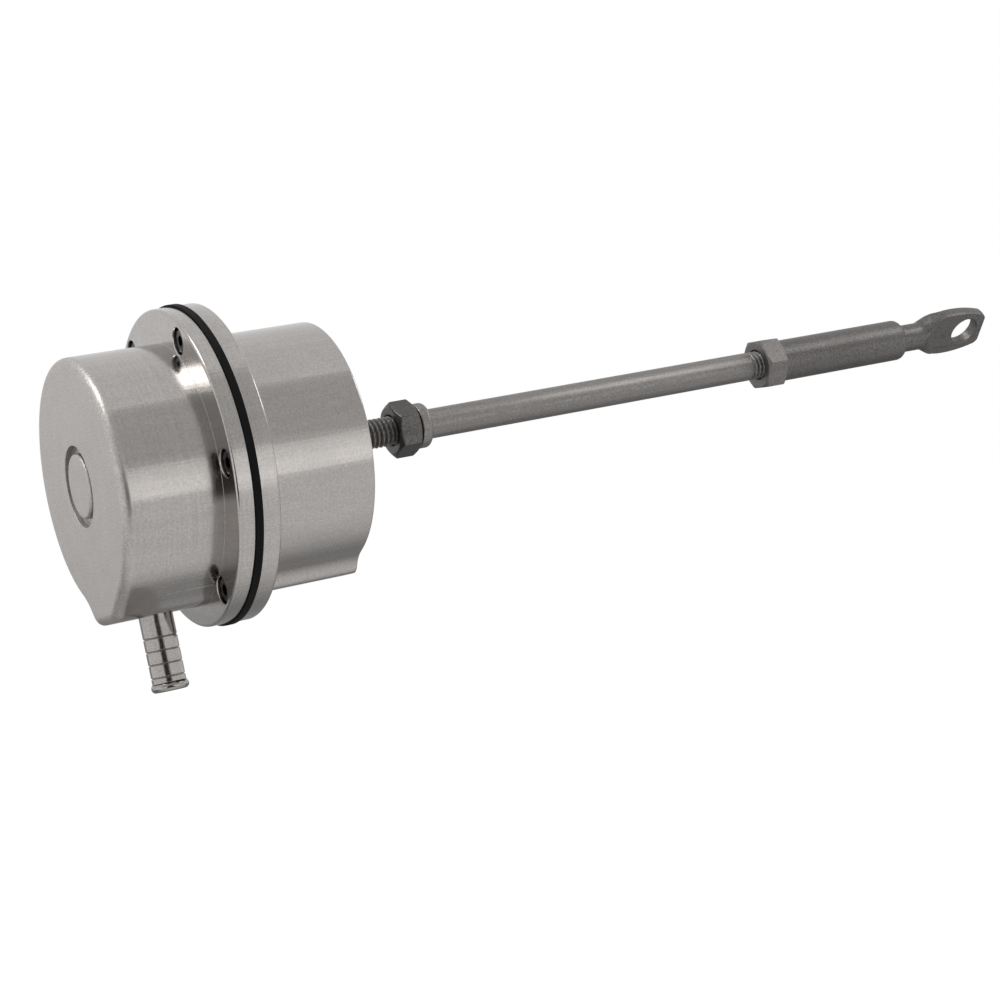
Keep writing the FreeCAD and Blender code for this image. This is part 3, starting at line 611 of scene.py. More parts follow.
class Tree:
    """The node tree of a material or the world."""

    def __init__(self, owner: Any) -> None:
        """Empty the owner's tree and keep it.

        Args:
            owner: The material or the world.
        """
        owner.use_nodes = True
        self.owner = owner
        self.nodes = owner.node_tree.nodes
        self.links = owner.node_tree.links
        self.nodes.clear()

    def node(
        self, kind: str, settings: dict[str, Any] | None = None,
        inputs: dict[Any, Any] | None = None,
    ) -> Node:
        """Add one node.

        Args:
            kind: The node's type.
            settings: Its properties, which are set first.
            inputs: Values or wires of its sockets by name or number.

        Returns:
            The node.
        """
        made = self.nodes.new(kind)
        for key, value in (settings or {}).items():
            setattr(made, key, value)
        for key, value in (inputs or {}).items():
            if isinstance(value, Wire):
                self.links.new(value.socket, made.inputs[key])
            else:
                made.inputs[key].default_value = value
        return Node(self, made)

    def place(self) -> Wire:
        """Object coordinates in metres."""
        return self.node("ShaderNodeTexCoord").out("Object")

    def millimetres(self) -> Wire:
        """Object coordinates in millimetres.

        Returns:
            The coordinates.
        """
        settings = {"vector_type": "TEXTURE"}
        inputs = {"Vector": self.place(), "Scale": (MM, MM, MM)}
        return self.node("ShaderNodeMapping", settings, inputs).out()

    def seen(self) -> Wire:
        """1 for what the camera sees, straight, in a mirror or through glass, else 0.

        Returns:
            The mask.
        """
        path = self.node("ShaderNodeLightPath")
        rays = path.out("Is Camera Ray") + path.out("Is Glossy Ray") + path.out("Is Transmission Ray")
        return rays.clamped()

    def glow(self, strength: Any) -> Wire:
        """White light of a strength."""
        inputs = {"Color": WHITE, "Strength": strength}
        return self.node("ShaderNodeEmission", None, inputs).out()

    def split(self, vector: Wire) -> tuple[Wire, Wire, Wire]:
        """The three parts of a vector."""
        parts = self.node("ShaderNodeSeparateXYZ", None, {0: vector})
        return parts.out(0), parts.out(1), parts.out(2)

    def join(self, x: Any, y: Any, z: Any = 0.0) -> Wire:
        """A vector from three values."""
        return self.node("ShaderNodeCombineXYZ", None, {0: x, 1: y, 2: z}).out()

    def noise(self, vector: Wire, scale: float, detail: float = 2.0, rough: float = 0.5) -> Wire:
        """Soft noise between 0 and 1 about a mean of one half."""
        inputs = {"Vector": vector, "Scale": scale, "Detail": detail, "Roughness": rough}
        return self.node("ShaderNodeTexNoise", None, inputs).out(0)

    def blend(self, share: Any, first: Any, second: Any) -> Wire:
        """Mix two colours.

        Args:
            share: Share of the second colour.
            first: Colour at a share of 0.
            second: Colour at a share of 1.

        Returns:
            The mixed colour.
        """
        settings = {"data_type": "RGBA", "clamp_factor": True}
        mix = self.node("ShaderNodeMix", settings, {0: share, 6: first, 7: second})
        return mix.out(2)

    def bump(self, height: Wire, distance: float, under: Wire | None = None) -> Wire:
        """A normal that follows a height.

        Args:
            height: The height, as a share of the distance.
            distance: The distance in millimetres.
            under: The normal that it adds to, where there is one.

        Returns:
            The normal.
        """
        inputs: dict[Any, Any] = {"Strength": 1.0, "Distance": distance * MM, "Height": height}
        if under is not None:
            inputs["Normal"] = under
        return self.node("ShaderNodeBump", None, inputs).out()

    def principled(self, **inputs: Any) -> Wire:
        """A Principled shader; an underscore in a name stands for the space in its socket's."""
        named = {key.replace("_", " "): value for key, value in inputs.items()}
        return self.node("ShaderNodeBsdfPrincipled", None, named).out()

    def finish(self, shader: Wire) -> Any:
        """Send a shader to the output and give the owner back.

        Args:
            shader: The finished shader.

        Returns:
            The material or the world.
        """
        owned = "World" if isinstance(self.owner, bpy.types.World) else "Material"
        self.node("ShaderNodeOutput" + owned, None, {"Surface": shader})
        return self.owner


Colour = tuple[float, float, float]
WARM: Colour = (1.0, 0.955, 0.922)


def rgba(colour: Colour) -> tuple[float, float, float, float]:
    """A colour with full cover."""
    return (*colour, 1.0)


def scaled(colour: Colour, share: float) -> Colour:
    """A colour made lighter or darker."""
    return (colour[0] * share, colour[1] * share, colour[2] * share)


class Lay(Enum):
    """How the tool marks of a finish run."""

    TURNED = "turned"
    DRAWN = "drawn"
    BLASTED = "blasted"


@dataclass(frozen=True)
class MetalFinish:
    """A metal surface with tool marks, handling wear and fine grain."""

    name: str
    colour: Colour
    roughness: float
    lay: Lay = Lay.TURNED
    line_height: float = 0.004
    line_pitch: float = 0.35
    grain_height: float = 0.002
    grain_size: float = 0.25
    wear: float = 0.08
    stain: float = 0.12
    streak_height: float = 0.0
    contrast: float = 0.22
    # Painted shade: the colour darkens towards black below this distance from the axis, in the thread
    # grooves.
    painted_shade_below: float = 0.0
    painted_shade_level: float = 0.75
    painted_shade_band: float = 0.5
    stain_shade: float = 0.72
    stain_band: tuple[float, float] = (0.42, 0.68)
    cloud_scale: float = 0.09
    streak_scale: float = 0.45
    streak_stretch: float = 0.03
    drawn_stretch: float = 0.04
    line_weight: float = 1.2
    grain_weight: float = 2.6
    streak_weight: float = 0.8

    def lines(self, tree: Tree, place: Wire) -> Wire:
        """Tool marks that follow the lay.

        Args:
            tree: The material's tree.
            place: Coordinates in millimetres.

        Returns:
            Noise that is drawn out along the marks.
        """
        x, y, z = tree.split(place)
        reach = (y * y + z * z) ** 0.5
        if self.lay is Lay.TURNED:
            guide = tree.join(x, reach)
        elif self.lay is Lay.DRAWN:
            guide = tree.join(x * self.drawn_stretch, y, z)
        else:
            guide = place
        return tree.noise(guide, 1.0 / self.line_pitch, 3.0, 0.6)

    def surface(self, tree: Tree, place: Wire) -> tuple[Wire, Wire, Wire]:
        """Colour, roughness and normal of the plain finish.

        Args:
            tree: The material's tree.
            place: Coordinates in millimetres.

        Returns:
            The three wires.
        """
        lines = self.lines(tree, place)
        x, y, z = tree.split(place)
        long_place = tree.join(x * self.streak_stretch, y, z)
        streaks = tree.noise(long_place, self.streak_scale, 3.0, 0.6)
        reach = (y * y + z * z) ** 0.5
        grain = tree.noise(place, 1.0 / self.grain_size, 2.0, 0.7)
        cloud = tree.noise(place, self.cloud_scale, 4.0, 0.6)
        stain = cloud.ramp(*self.stain_band) * self.stain
        marks = (lines - 0.5) * self.line_weight + (grain - 0.5) * self.grain_weight
        marks = marks + (streaks - 0.5) * self.streak_weight + 0.5
        marked = tree.blend(
            marks, rgba(scaled(self.colour, 1.0 - self.contrast)),
            rgba(scaled(self.colour, 1.0 + self.contrast)),
        )
        stained = tree.blend(stain, marked, rgba(scaled(self.colour, self.stain_shade)))
        # Painted shade: darker towards black below the given distance from the axis, inside the thread
        # grooves.
        unshaded_share = reach.ramp(self.painted_shade_below - self.painted_shade_band, self.painted_shade_below, self.painted_shade_level, 1.0)
        colour = tree.blend(unshaded_share, rgba((0.0, 0.0, 0.0)), stained)
        rough = self.roughness + (lines - 0.5) * self.wear + (cloud - 0.5) * self.wear
        height = lines * self.line_height + grain * self.grain_height
        height = height + streaks * self.streak_height
        return colour, rough.clamped(), tree.bump(height, 1.0)

    def build(self) -> bpy.types.Material:
        """Make the material.

        Returns:
            The material.
        """
        tree = Tree(bpy.data.materials.new(self.name))
        colour, rough, normal = self.surface(tree, tree.millimetres())
        shader = tree.principled(Base_Color=colour, Metallic=1.0, Roughness=rough, Normal=normal)
        return tree.finish(shader)


@dataclass(frozen=True)
class RubberFinish:
    """Black moulded rubber with a dull sheen and a little dust."""

    name: str
    colour: Colour = (0.004, 0.004, 0.0045)
    dust: Colour = (0.013, 0.012, 0.012)
    roughness: float = 0.66
    wear: float = 0.3
    sheen: float = 0.1
    dust_band: tuple[float, float] = (0.5, 0.8)
    dust_share: float = 0.5
    cloud_scale: float = 0.35
    grain_scale: float = 3.0
    grain_height: float = 0.02

    def build(self) -> bpy.types.Material:
        """Make the material.

        Returns:
            The material.
        """
        tree = Tree(bpy.data.materials.new(self.name))
        place = tree.millimetres()
        grain = tree.noise(place, self.grain_scale, 3.0, 0.65)
        cloud = tree.noise(place, self.cloud_scale, 3.0, 0.6)
        dusty = cloud.ramp(*self.dust_band) * self.dust_share
        colour = tree.blend(dusty, rgba(self.colour), rgba(self.dust))
        rough = (self.roughness + (cloud - 0.5) * self.wear).clamped()
        normal = tree.bump(grain, self.grain_height)
        return tree.finish(tree.principled(
            Base_Color=colour, Roughness=rough, Normal=normal, Specular_IOR_Level=self.sheen,
        ))


@dataclass(frozen=True)
class HousingFinish(MetalFinish):
    """Turned aluminium whose end face is blasted to a fine matt."""

    matt_below: float = -1000.0
    matt_band: float = 2.2
    matt_roughness: float = 0.48
    blast_scale: float = 2.8
    blast_height: float = 0.035
    speckle: float = 0.24
    speckle_band: tuple[float, float] = (0.42, 0.58)
    speckle_colour: Colour = scaled(WARM, 0.9)

    def build(self) -> bpy.types.Material:
        """Make the material.

        Returns:
            The material.
        """
        tree = Tree(bpy.data.materials.new(self.name))
        place = tree.millimetres()
        colour, rough, normal = self.surface(tree, place)
        along, _, _ = tree.split(place)
        matt = along.ramp(self.matt_below, self.matt_below + self.matt_band, 1.0, 0.0)
        rough = (rough * (1.0 - matt) + matt * self.matt_roughness).clamped()
        blasted = tree.noise(place, self.blast_scale, 3.0, 0.7)
        light = blasted.ramp(*self.speckle_band) * matt * self.speckle
        colour = tree.blend(light, colour, rgba(self.speckle_colour))
        normal = tree.bump(blasted * matt, self.blast_height, normal)
        shader = tree.principled(Base_Color=colour, Metallic=1.0, Roughness=rough, Normal=normal)
        return tree.finish(shader)


@dataclass(frozen=True)
class Palette:
    """The finishes of this actuator, one for each slot, and the rod end's own."""

    turned_aluminium: HousingFinish = HousingFinish(
        "turned_aluminium", scaled(WARM, 0.44), 0.18, line_pitch=0.3, wear=0.06,
        grain_height=0.002, grain_size=0.4, streak_height=0.03, contrast=0.12, matt_below=-49.6,
    )
    plain_aluminium: MetalFinish = MetalFinish("plain_aluminium", scaled(WARM, 0.56), 0.34)
    black_rubber: RubberFinish = RubberFinish("black_rubber")
    zinc_steel: MetalFinish = MetalFinish("zinc_steel", (0.5, 0.51, 0.5), 0.32)
    spring_steel: MetalFinish = MetalFinish("spring_steel", scaled(WARM, 0.16), 0.36, Lay.BLASTED)
    # Its thread grooves, below 2.94 mm from the axis, get painted shade.
    stainless: MetalFinish = MetalFinish(
        "stainless", scaled(WARM, 0.24), 0.44, Lay.DRAWN, line_height=0.008, line_pitch=0.5,
        grain_size=0.35, streak_height=0.02, contrast=0.22, painted_shade_below=2.94,
    )
    forged_stainless: MetalFinish = MetalFinish(
        "forged_stainless", scaled(WARM, 0.145), 0.44, line_height=0.006, line_pitch=0.4,
        grain_height=0.006, grain_size=0.4, wear=0.12, contrast=0.3,
    )
    bronze: MetalFinish = MetalFinish("bronze", (0.5, 0.3, 0.12), 0.3)
    screw_steel: MetalFinish = MetalFinish("screw_steel", scaled(WARM, 0.06), 0.3, Lay.BLASTED)
    nickel: MetalFinish = MetalFinish(
        "nickel", scaled(WARM, 0.36), 0.16, line_height=0.001, grain_height=0.001, wear=0.06
    )
    dark_nut_steel: MetalFinish = MetalFinish(
        "dark_nut_steel", scaled(WARM, 0.105), 0.34, Lay.BLASTED, grain_height=0.006,
        grain_size=0.4, contrast=0.35,
    )
    bright_nut_steel: MetalFinish = MetalFinish(
        "bright_nut_steel", scaled(WARM, 0.2), 0.52, Lay.BLASTED, grain_height=0.004,
        grain_size=0.4, contrast=0.25,
    )

    def finished(self, name: str) -> bpy.types.Material:
        """The material of one of the finishes, made once.

        Args:
            name: The finish's field, which is also the material's name.

        Returns:
            The material.
        """
        known = bpy.data.materials.get(name)
        if known is not None and known.get("dressed"):
            return known
        if known is not None:
            known.name = name + "_packed"
        made = getattr(self, name).build()
        made["dressed"] = True
        return made


def place_piece(
    name: str, mesh: bmesh.types.BMesh, body: Body, slot: Slot, palette: Palette,
    nodes: Sequence[str] = (), finish: str = "",
) -> bpy.types.Object:
    """Finish a mesh as a piece of the actuator.

    Args:
        name: Name of the piece.
        mesh: Its shape in millimetres.
        body: The body that it moves with.
        slot: The slot that its finish comes from.
        palette: The finishes.
        nodes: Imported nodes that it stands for.
        finish: The finish, where it isn't the slot's usual one.

    Returns:
        The finished object.
    """
    bmesh.ops.scale(mesh, vec=(MM, MM, MM), verts=mesh.verts[:])
    piece = as_object(name, mesh)
    piece.data.materials.append(palette.finished(finish or slot.value))
    piece.data.shade_smooth()
    piece.data.set_sharp_from_angle(angle=SHARP_ANGLE)
    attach(piece, body.value)
    if nodes:
        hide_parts(*nodes)
    log.info("%s: %d faces", name, len(piece.data.polygons))
    return piece


def dress_node(node: str, slot: Slot, palette: Palette) -> None:
    """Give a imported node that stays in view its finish.

    Args:
        node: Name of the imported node.
        slot: The slot that its finish comes from.
        palette: The finishes.
    """
    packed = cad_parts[node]
    packed.data.materials.clear()
    packed.data.materials.append(palette.finished(slot.value))
    log.info("%s: packed node dressed", node)


@dataclass
class Casing:
    """The two housings, the diaphragm, the spring, the screws and the nipple."""

    palette: Palette
    steps: int = 360
    body_radius: float = 24.0
    cap_radius: float = 24.2
    bore_radius: float = 21.0
    cap_flange: float = 3.3
    lower_flange: float = 3.7
    cap_flange_radius: float = 30.7
    lower_flange_radius: float = 30.8
    rim_radius: float = 31.15
    rim_inside: float = 30.0
    rim_sag: float = 0.06
    rim_waves: tuple[tuple[float, float, float], ...] = ((0.04, 6.0, 0.7), (0.02, 17.0, 0.0))
    slide_travel: float = 12.0
    cap_crest: float = 26.4
    cap_near: Flank = Flank(32.0, 24.3, 0.9)
    cap_far: Flank = Flank(54.7, 21.3, 1.1)
    cap_foot: float = 1.4
    cap_wall_outside: float = 22.5
    cap_flange_foot: float = 26.2
    lower_crest: float = 26.3
    lower_flank: Flank = Flank(50.3, 19.6, 0.8)
    lower_foot: float = 1.6
    lower_wall_outside: float = 23.0
    lower_flange_foot: float = 25.2
    cap_end_wall: float = 3.5
    lower_end_wall: float = 7.0
    cap_end_round: float = 1.8
    cap_flange_blend: float = 0.06
    lower_flange_blend: float = 0.8
    end_round: float = 0.4
    flange_edge_round: float = 0.5
    bore_corner_round: float = 1.5
    joint_edge: float = 0.12
    edge_break: float = 0.3
    button_radius: float = 6.2
    button_groove: float = 1.6
    button_depth: float = 1.3
    button_round: float = 0.5
    groove_floor_round: float = 0.15
    groove_edge: float = 0.12
    screw_count: int = 6
    screw_circle: float = 27.1
    screw_clocking: float = 25.0
    screw_head_radius: float = 2.35
    screw_head_height: float = 2.0
    screw_pocket_radius: float = 2.6
    screw_pocket_depth: float = 2.5
    screw_radius: float = 1.5
    screw_head_round: float = 0.35
    screw_head_edge: float = 0.1
    screw_tip_round: float = 0.3
    screw_hole_radius: float = 1.7
    screw_thread_radius: float = 1.55
    pocket_mouth: float = 0.15
    hole_steps: int = 64
    overrun: float = 1.0
    socket_flats: float = 2.0
    socket_depth: float = 1.2
    bush_radius: float = 5.0
    bush_boss_radius: float = 8.0
    bush_boss_height: float = 7.0
    wiper_radius: float = 6.0
    wiper_edge: float = 0.15
    wiper_depth: float = 3.6
    circlip_near: float = 0.4
    circlip_far: float = 1.4
    circlip_groove: float = 0.5
    mount_count: int = 4
    mount_circle: float = 16.0
    mount_hole: float = 2.5
    mount_depth: float = 6.0
    mount_thread_depth: float = -0.3
    mount_thread_gap: float = 1.0
    mount_thread_end: float = 0.2
    mount_ring_tail: float = 0.3
    mount_drill_tip: float = 1.5
    mount_mouth: float = 0.5
    mount_clocking: float = 45.0
    vent_radius: float = 1.0
    vent_circle: float = 19.4
    vent_steps: int = 48
    nipple_radius: float = 3.25
    nipple_bore: float = 1.9
    nipple_spigot_radius: float = 2.75
    nipple_spigot: float = 4.6
    nipple_steps: int = 128
    nipple_edge: float = 0.1
    nipple_spigot_edge: float = 0.2
    nipple_bead_length: float = 1.7
    nipple_bead_rise: float = 0.1
    nipple_bead_foot: float = 0.12
    nipple_bead_round: float = 0.82
    nipple_mouth_round: float = 0.3
    nipple_groove_pitch: float = 2.5
    nipple_groove_count: int = 4
    nipple_groove_width: float = 0.34
    nipple_groove_depth: float = 0.2
    nipple_groove_edge: float = 0.06
    nipple_groove_floor: float = 0.05
    nipple_groove_end: float = 1.1
    spot_face_radius: float = 3.45
    spot_face_depth: float = 0.3
    spot_face_reach: float = 2.0
    port_steps: int = 96

    def __post_init__(self) -> None:
        """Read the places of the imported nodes."""
        self.cap = Extent.of("cap_housing")
        self.lower = Extent.of("lower_housing")
        self.nipple = Extent.of("hose_nipple")
        self.screws = Extent.of("housing_screws")
        self.port_face = self.cap_crest - self.spot_face_depth

    def build(self) -> None:
        """Make and dress every piece of the casing."""
        self.build_cap()
        self.build_lower()
        self.build_diaphragm()
        self.build_spring()
        self.build_screws()
        self.build_nipple()
        for node in ("spring_shim", "wiper_circlip"):
            dress_node(node, Slot.SPRING_STEEL, self.palette)
        dress_node("guide_bush", Slot.BRONZE, self.palette)
        dress_node("shaft_wiper", Slot.BLACK_RUBBER, self.palette)

    def place(
        self, name: str, mesh: bmesh.types.BMesh, slot: Slot, node: str
    ) -> bpy.types.Object:
        """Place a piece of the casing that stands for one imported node."""
        return place_piece(name, mesh, Body.CASING, slot, self.palette, [node])

    def screw_tool(
        self, start: float, end: float, radius: float, mouth: float = 0.0
    ) -> bmesh.types.BMesh:
        """A round tool at the first screw, wider at its start by a chamfered mouth.

        Args:
            start: Where the tool's mouth starts along the rod.
            end: Where it ends.
            radius: Its radius.
            mouth: Width of the mouth's chamfer.

        Returns:
            The tool.
        """
        before = start - self.cap_flange_blend - self.overrun / 2.0
        corners = [
            Corner(before, 0.0),
            Corner(before, radius + mouth),
            Corner(start, radius + mouth),
            Corner(start + mouth, radius),
            Corner(end, radius),
            Corner(end, 0.0),
        ]
        tool = turned(corners, self.hole_steps)
        return moved(tool, Matrix.Translation((0.0, 0.0, -self.screw_circle)))

    def screw_tools(
        self, start: float, end: float, radius: float, mouth: float = 0.0
    ) -> bmesh.types.BMesh:
        """The same tool at all six screws.

        Args:
            start: Where the tools' mouths start along the rod.
            end: Where they end.
            radius: Their radius.
            mouth: Width of the mouths' chamfer.

        Returns:
            The six tools in one mesh.
        """
        return around_axis(
            lambda: self.screw_tool(start, end, radius, mouth),
            self.screw_count, -self.screw_clocking,
        )

    def build_cap(self) -> None:
        """The cap: end face with its button, ridge, flange and screw pockets."""
        end = self.cap.low.x
        face = self.cap.high.x
        front = face - self.cap_flange
        groove_out = self.button_radius + self.button_groove
        corners = [
            Corner(end, 0.0),
            Corner(end, self.button_radius, self.button_round),
            Corner(end + self.button_depth, self.button_radius, self.groove_floor_round),
            Corner(end + self.button_depth, groove_out, self.groove_floor_round),
            Corner(end, groove_out, self.groove_edge),
            Corner(end, self.cap_radius, self.cap_end_round),
            Corner(front, self.cap_radius, self.cap_flange_blend),
            Corner(front, self.cap_flange_radius, self.flange_edge_round),
            Corner(face, self.cap_flange_radius, self.joint_edge),
            Corner(face, self.bore_radius),
            Corner(end + self.cap_end_wall, self.bore_radius, self.bore_corner_round),
            Corner(end + self.cap_end_wall, 0.0),
        ]
        mesh = turned(corners, self.steps)
        ridge = Ridge(self.cap_radius, self.cap_crest, self.cap_near, self.cap_far, self.cap_foot)
        ridge.raise_skin(mesh, Skin(
            end, face - end, self.cap_end_wall / 2.0, self.cap_wall_outside, self.cap_flange_foot
        ))
        floor = front + self.screw_pocket_depth
        for tool in (
            self.screw_tools(front, floor, self.screw_pocket_radius, self.pocket_mouth),
            self.screw_tools(floor, face + self.overrun, self.screw_hole_radius),
            self.port_tool(),
        ):
            mesh = carved(mesh, tool)
        self.place("cap_shell", mesh, Slot.TURNED_ALUMINIUM, "cap_housing")

    def port_tool(self) -> bmesh.types.BMesh:
        """The nipple's bore and spot face under the cap.

        Returns:
            The tool.
        """
        below = self.port_face + self.spot_face_reach
        corners = [
            Corner(0.0, self.nipple_spigot_radius),
            Corner(self.port_face, self.nipple_spigot_radius),
            Corner(self.port_face, self.spot_face_radius),
            Corner(below, self.spot_face_radius),
            Corner(below, 0.0),
            Corner(0.0, 0.0),
        ]
        return moved(turned(corners, self.port_steps), self.nipple_matrix())

    def nipple_matrix(self) -> Matrix:
        """Turns the X axis to point down at the nipple's place."""
        middle = (self.nipple.low.x + self.nipple.high.x) / 2.0
        return Matrix.Translation((middle, 0.0, 0.0)) @ X_TO_DOWN

    def build_lower(self) -> None:
        """The lower housing: flange, ridge, mounting face and guide bore."""
        top = self.lower.low.x
        back = top + self.lower_flange
        floor = -self.lower_end_wall
        boss = floor - self.bush_boss_height
        seat = self.circlip_groove + self.wiper_radius
        corners = [
            Corner(0.0, self.wiper_radius, self.wiper_edge),
            Corner(0.0, self.body_radius, self.end_round),
            Corner(back, self.body_radius, self.lower_flange_blend),
            Corner(back, self.lower_flange_radius, self.flange_edge_round),
            Corner(top, self.lower_flange_radius, self.joint_edge),
            Corner(top, self.bore_radius, self.bore_corner_round),
            Corner(floor, self.bore_radius, self.bore_corner_round),
            Corner(floor, self.bush_boss_radius),
            Corner(boss, self.bush_boss_radius, self.edge_break),
            Corner(boss, self.bush_radius),
            Corner(-self.wiper_depth, self.bush_radius),
            Corner(-self.wiper_depth, self.wiper_radius),
            Corner(-self.circlip_far, self.wiper_radius),
            Corner(-self.circlip_far, seat),
            Corner(-self.circlip_near, seat),
            Corner(-self.circlip_near, self.wiper_radius),
        ]
        mesh = turned(corners, self.steps, closed=True)
        ridge = Ridge(
            self.body_radius, self.lower_crest, self.lower_flank, self.lower_flank, self.lower_foot
        )
        ridge.raise_skin(mesh, Skin(
            0.0, -top, self.lower_end_wall / 2.0, self.lower_wall_outside, self.lower_flange_foot
        ))
        holes = around_axis(self.mount_tool, self.mount_count, self.mount_clocking)
        vent = turned([
            Corner(floor - self.overrun, 0.0),
            Corner(floor - self.overrun, self.vent_radius),
            Corner(self.overrun, self.vent_radius),
            Corner(self.overrun, 0.0),
        ], self.vent_steps)
        moved(vent, Matrix.Translation((0.0, 0.0, self.vent_circle)))
        screws = self.screw_tools(top, back + self.overrun, self.screw_thread_radius)
        mesh = carved(mesh, merged([holes, vent, screws]))
        self.place("lower_shell", mesh, Slot.TURNED_ALUMINIUM, "lower_housing")

    def mount_tool(self) -> bmesh.types.BMesh:
        """One blind threaded hole of the mounting face.

        Returns:
            The tool that cuts it.
        """
        radius = self.mount_hole
        mouth = radius + self.mount_mouth
        bottom = -self.mount_depth
        thread = Thread(
            bottom + self.mount_thread_gap, -self.mount_thread_end, radius,
            depth=self.mount_thread_depth,
        )
        points = [Vector((bottom - self.mount_drill_tip, 0.0)), Vector((bottom, radius))]
        points += thread.rings(radius, lead=0.0, tail=self.mount_ring_tail)
        points += [
            Vector((0.0, mouth)), Vector((self.overrun, mouth)), Vector((self.overrun, 0.0)),
        ]
        tool = spun(points, self.hole_steps)
        thread.cut(tool)
        return moved(tool, Matrix.Translation((0.0, 0.0, self.mount_circle)))

    def build_diaphragm(self) -> None:
        """The diaphragm, its rim squeezed a little out of the joint."""
        mesh = copy_of("diaphragm")
        outer = Extent.of("diaphragm").high.y
        for vert in mesh.verts:
            reach = math.hypot(vert.co.y, vert.co.z)
            if reach < self.rim_inside:
                continue
            angle = math.atan2(vert.co.z, vert.co.y)
            sag = self.rim_sag + sum(
                height * math.sin(angle * count + shift) for height, count, shift in self.rim_waves
            )
            stretch = (self.rim_radius - sag - self.rim_inside) / (outer - self.rim_inside)
            share = (self.rim_inside + (reach - self.rim_inside) * stretch) / reach
            vert.co.y *= share
            vert.co.z *= share
        self.place("diaphragm_rubber", mesh, Slot.BLACK_RUBBER, "diaphragm")

    def build_spring(self) -> None:
        """The return spring, copied from its imported node."""
        spring = Extent.of("return_spring")
        wire = self.place("spring_wire", copy_of("return_spring"), Slot.SPRING_STEEL, "return_spring")
        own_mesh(wire)

    def build_screws(self) -> None:
        """The six socket head screws."""
        mesh = around_axis(self.screw, self.screw_count, -self.screw_clocking)
        self.place("cap_screws", mesh, Slot.SCREW_STEEL, "housing_screws")

    def screw(self) -> bmesh.types.BMesh:
        """One screw at the first place, with its hexagon socket.

        Returns:
            The screw.
        """
        floor = self.cap.high.x - self.cap_flange + self.screw_pocket_depth
        top = floor - self.screw_head_height
        body = turned([
            Corner(top, 0.0),
            Corner(top, self.screw_head_radius, self.screw_head_round),
            Corner(floor, self.screw_head_radius, self.screw_head_edge),
            Corner(floor, self.screw_radius),
            Corner(self.screws.high.x, self.screw_radius, self.screw_tip_round),
            Corner(self.screws.high.x, 0.0),
        ], self.hole_steps)
        depth = self.socket_depth + self.overrun / 2.0
        radius = self.socket_flats / math.sqrt(3.0)
        socket = bmesh.new()
        bmesh.ops.create_cone(
            socket, cap_ends=True, segments=6, radius1=radius, radius2=radius, depth=depth,
            matrix=Matrix.Translation((top + self.socket_depth - depth / 2.0, 0.0, 0.0)) @ X_TO_DOWN,
        )
        return moved(carved(body, socket), Matrix.Translation((0.0, 0.0, -self.screw_circle)))

    def build_nipple(self) -> None:
        """The hose nipple with its grooves and rolled bead."""
        root = self.port_face - self.nipple_spigot
        tip = -self.nipple.low.z
        bead = tip - self.nipple_bead_length
        bead_radius = (self.nipple.high.x - self.nipple.low.x) / 2.0
        half = self.nipple_groove_width / 2.0
        bottom = self.nipple_radius - self.nipple_groove_depth
        corners = [
            Corner(root, self.nipple_bore, self.nipple_edge),
            Corner(root, self.nipple_spigot_radius, self.nipple_spigot_edge),
            Corner(self.port_face, self.nipple_spigot_radius),
            Corner(self.port_face, self.nipple_radius, self.nipple_edge),
        ]
        for index in range(self.nipple_groove_count):
            back = self.nipple_groove_count - 1 - index
            middle = bead - self.nipple_groove_end - back * self.nipple_groove_pitch
            corners += [
                Corner(middle - half, self.nipple_radius, self.nipple_groove_edge),
                Corner(middle, bottom, self.nipple_groove_floor),
                Corner(middle + half, self.nipple_radius, self.nipple_groove_edge),
            ]
        corners += [
            Corner(bead, self.nipple_radius, self.nipple_bead_foot),
            Corner(bead + self.nipple_bead_rise, bead_radius, self.nipple_bead_round),
            Corner(tip, bead_radius, self.nipple_bead_round),
            Corner(tip, self.nipple_bore, self.nipple_mouth_round),
        ]
        mesh = moved(turned(corners, self.nipple_steps, closed=True), self.nipple_matrix())
        self.place("nipple_tube", mesh, Slot.NICKEL, "hose_nipple")


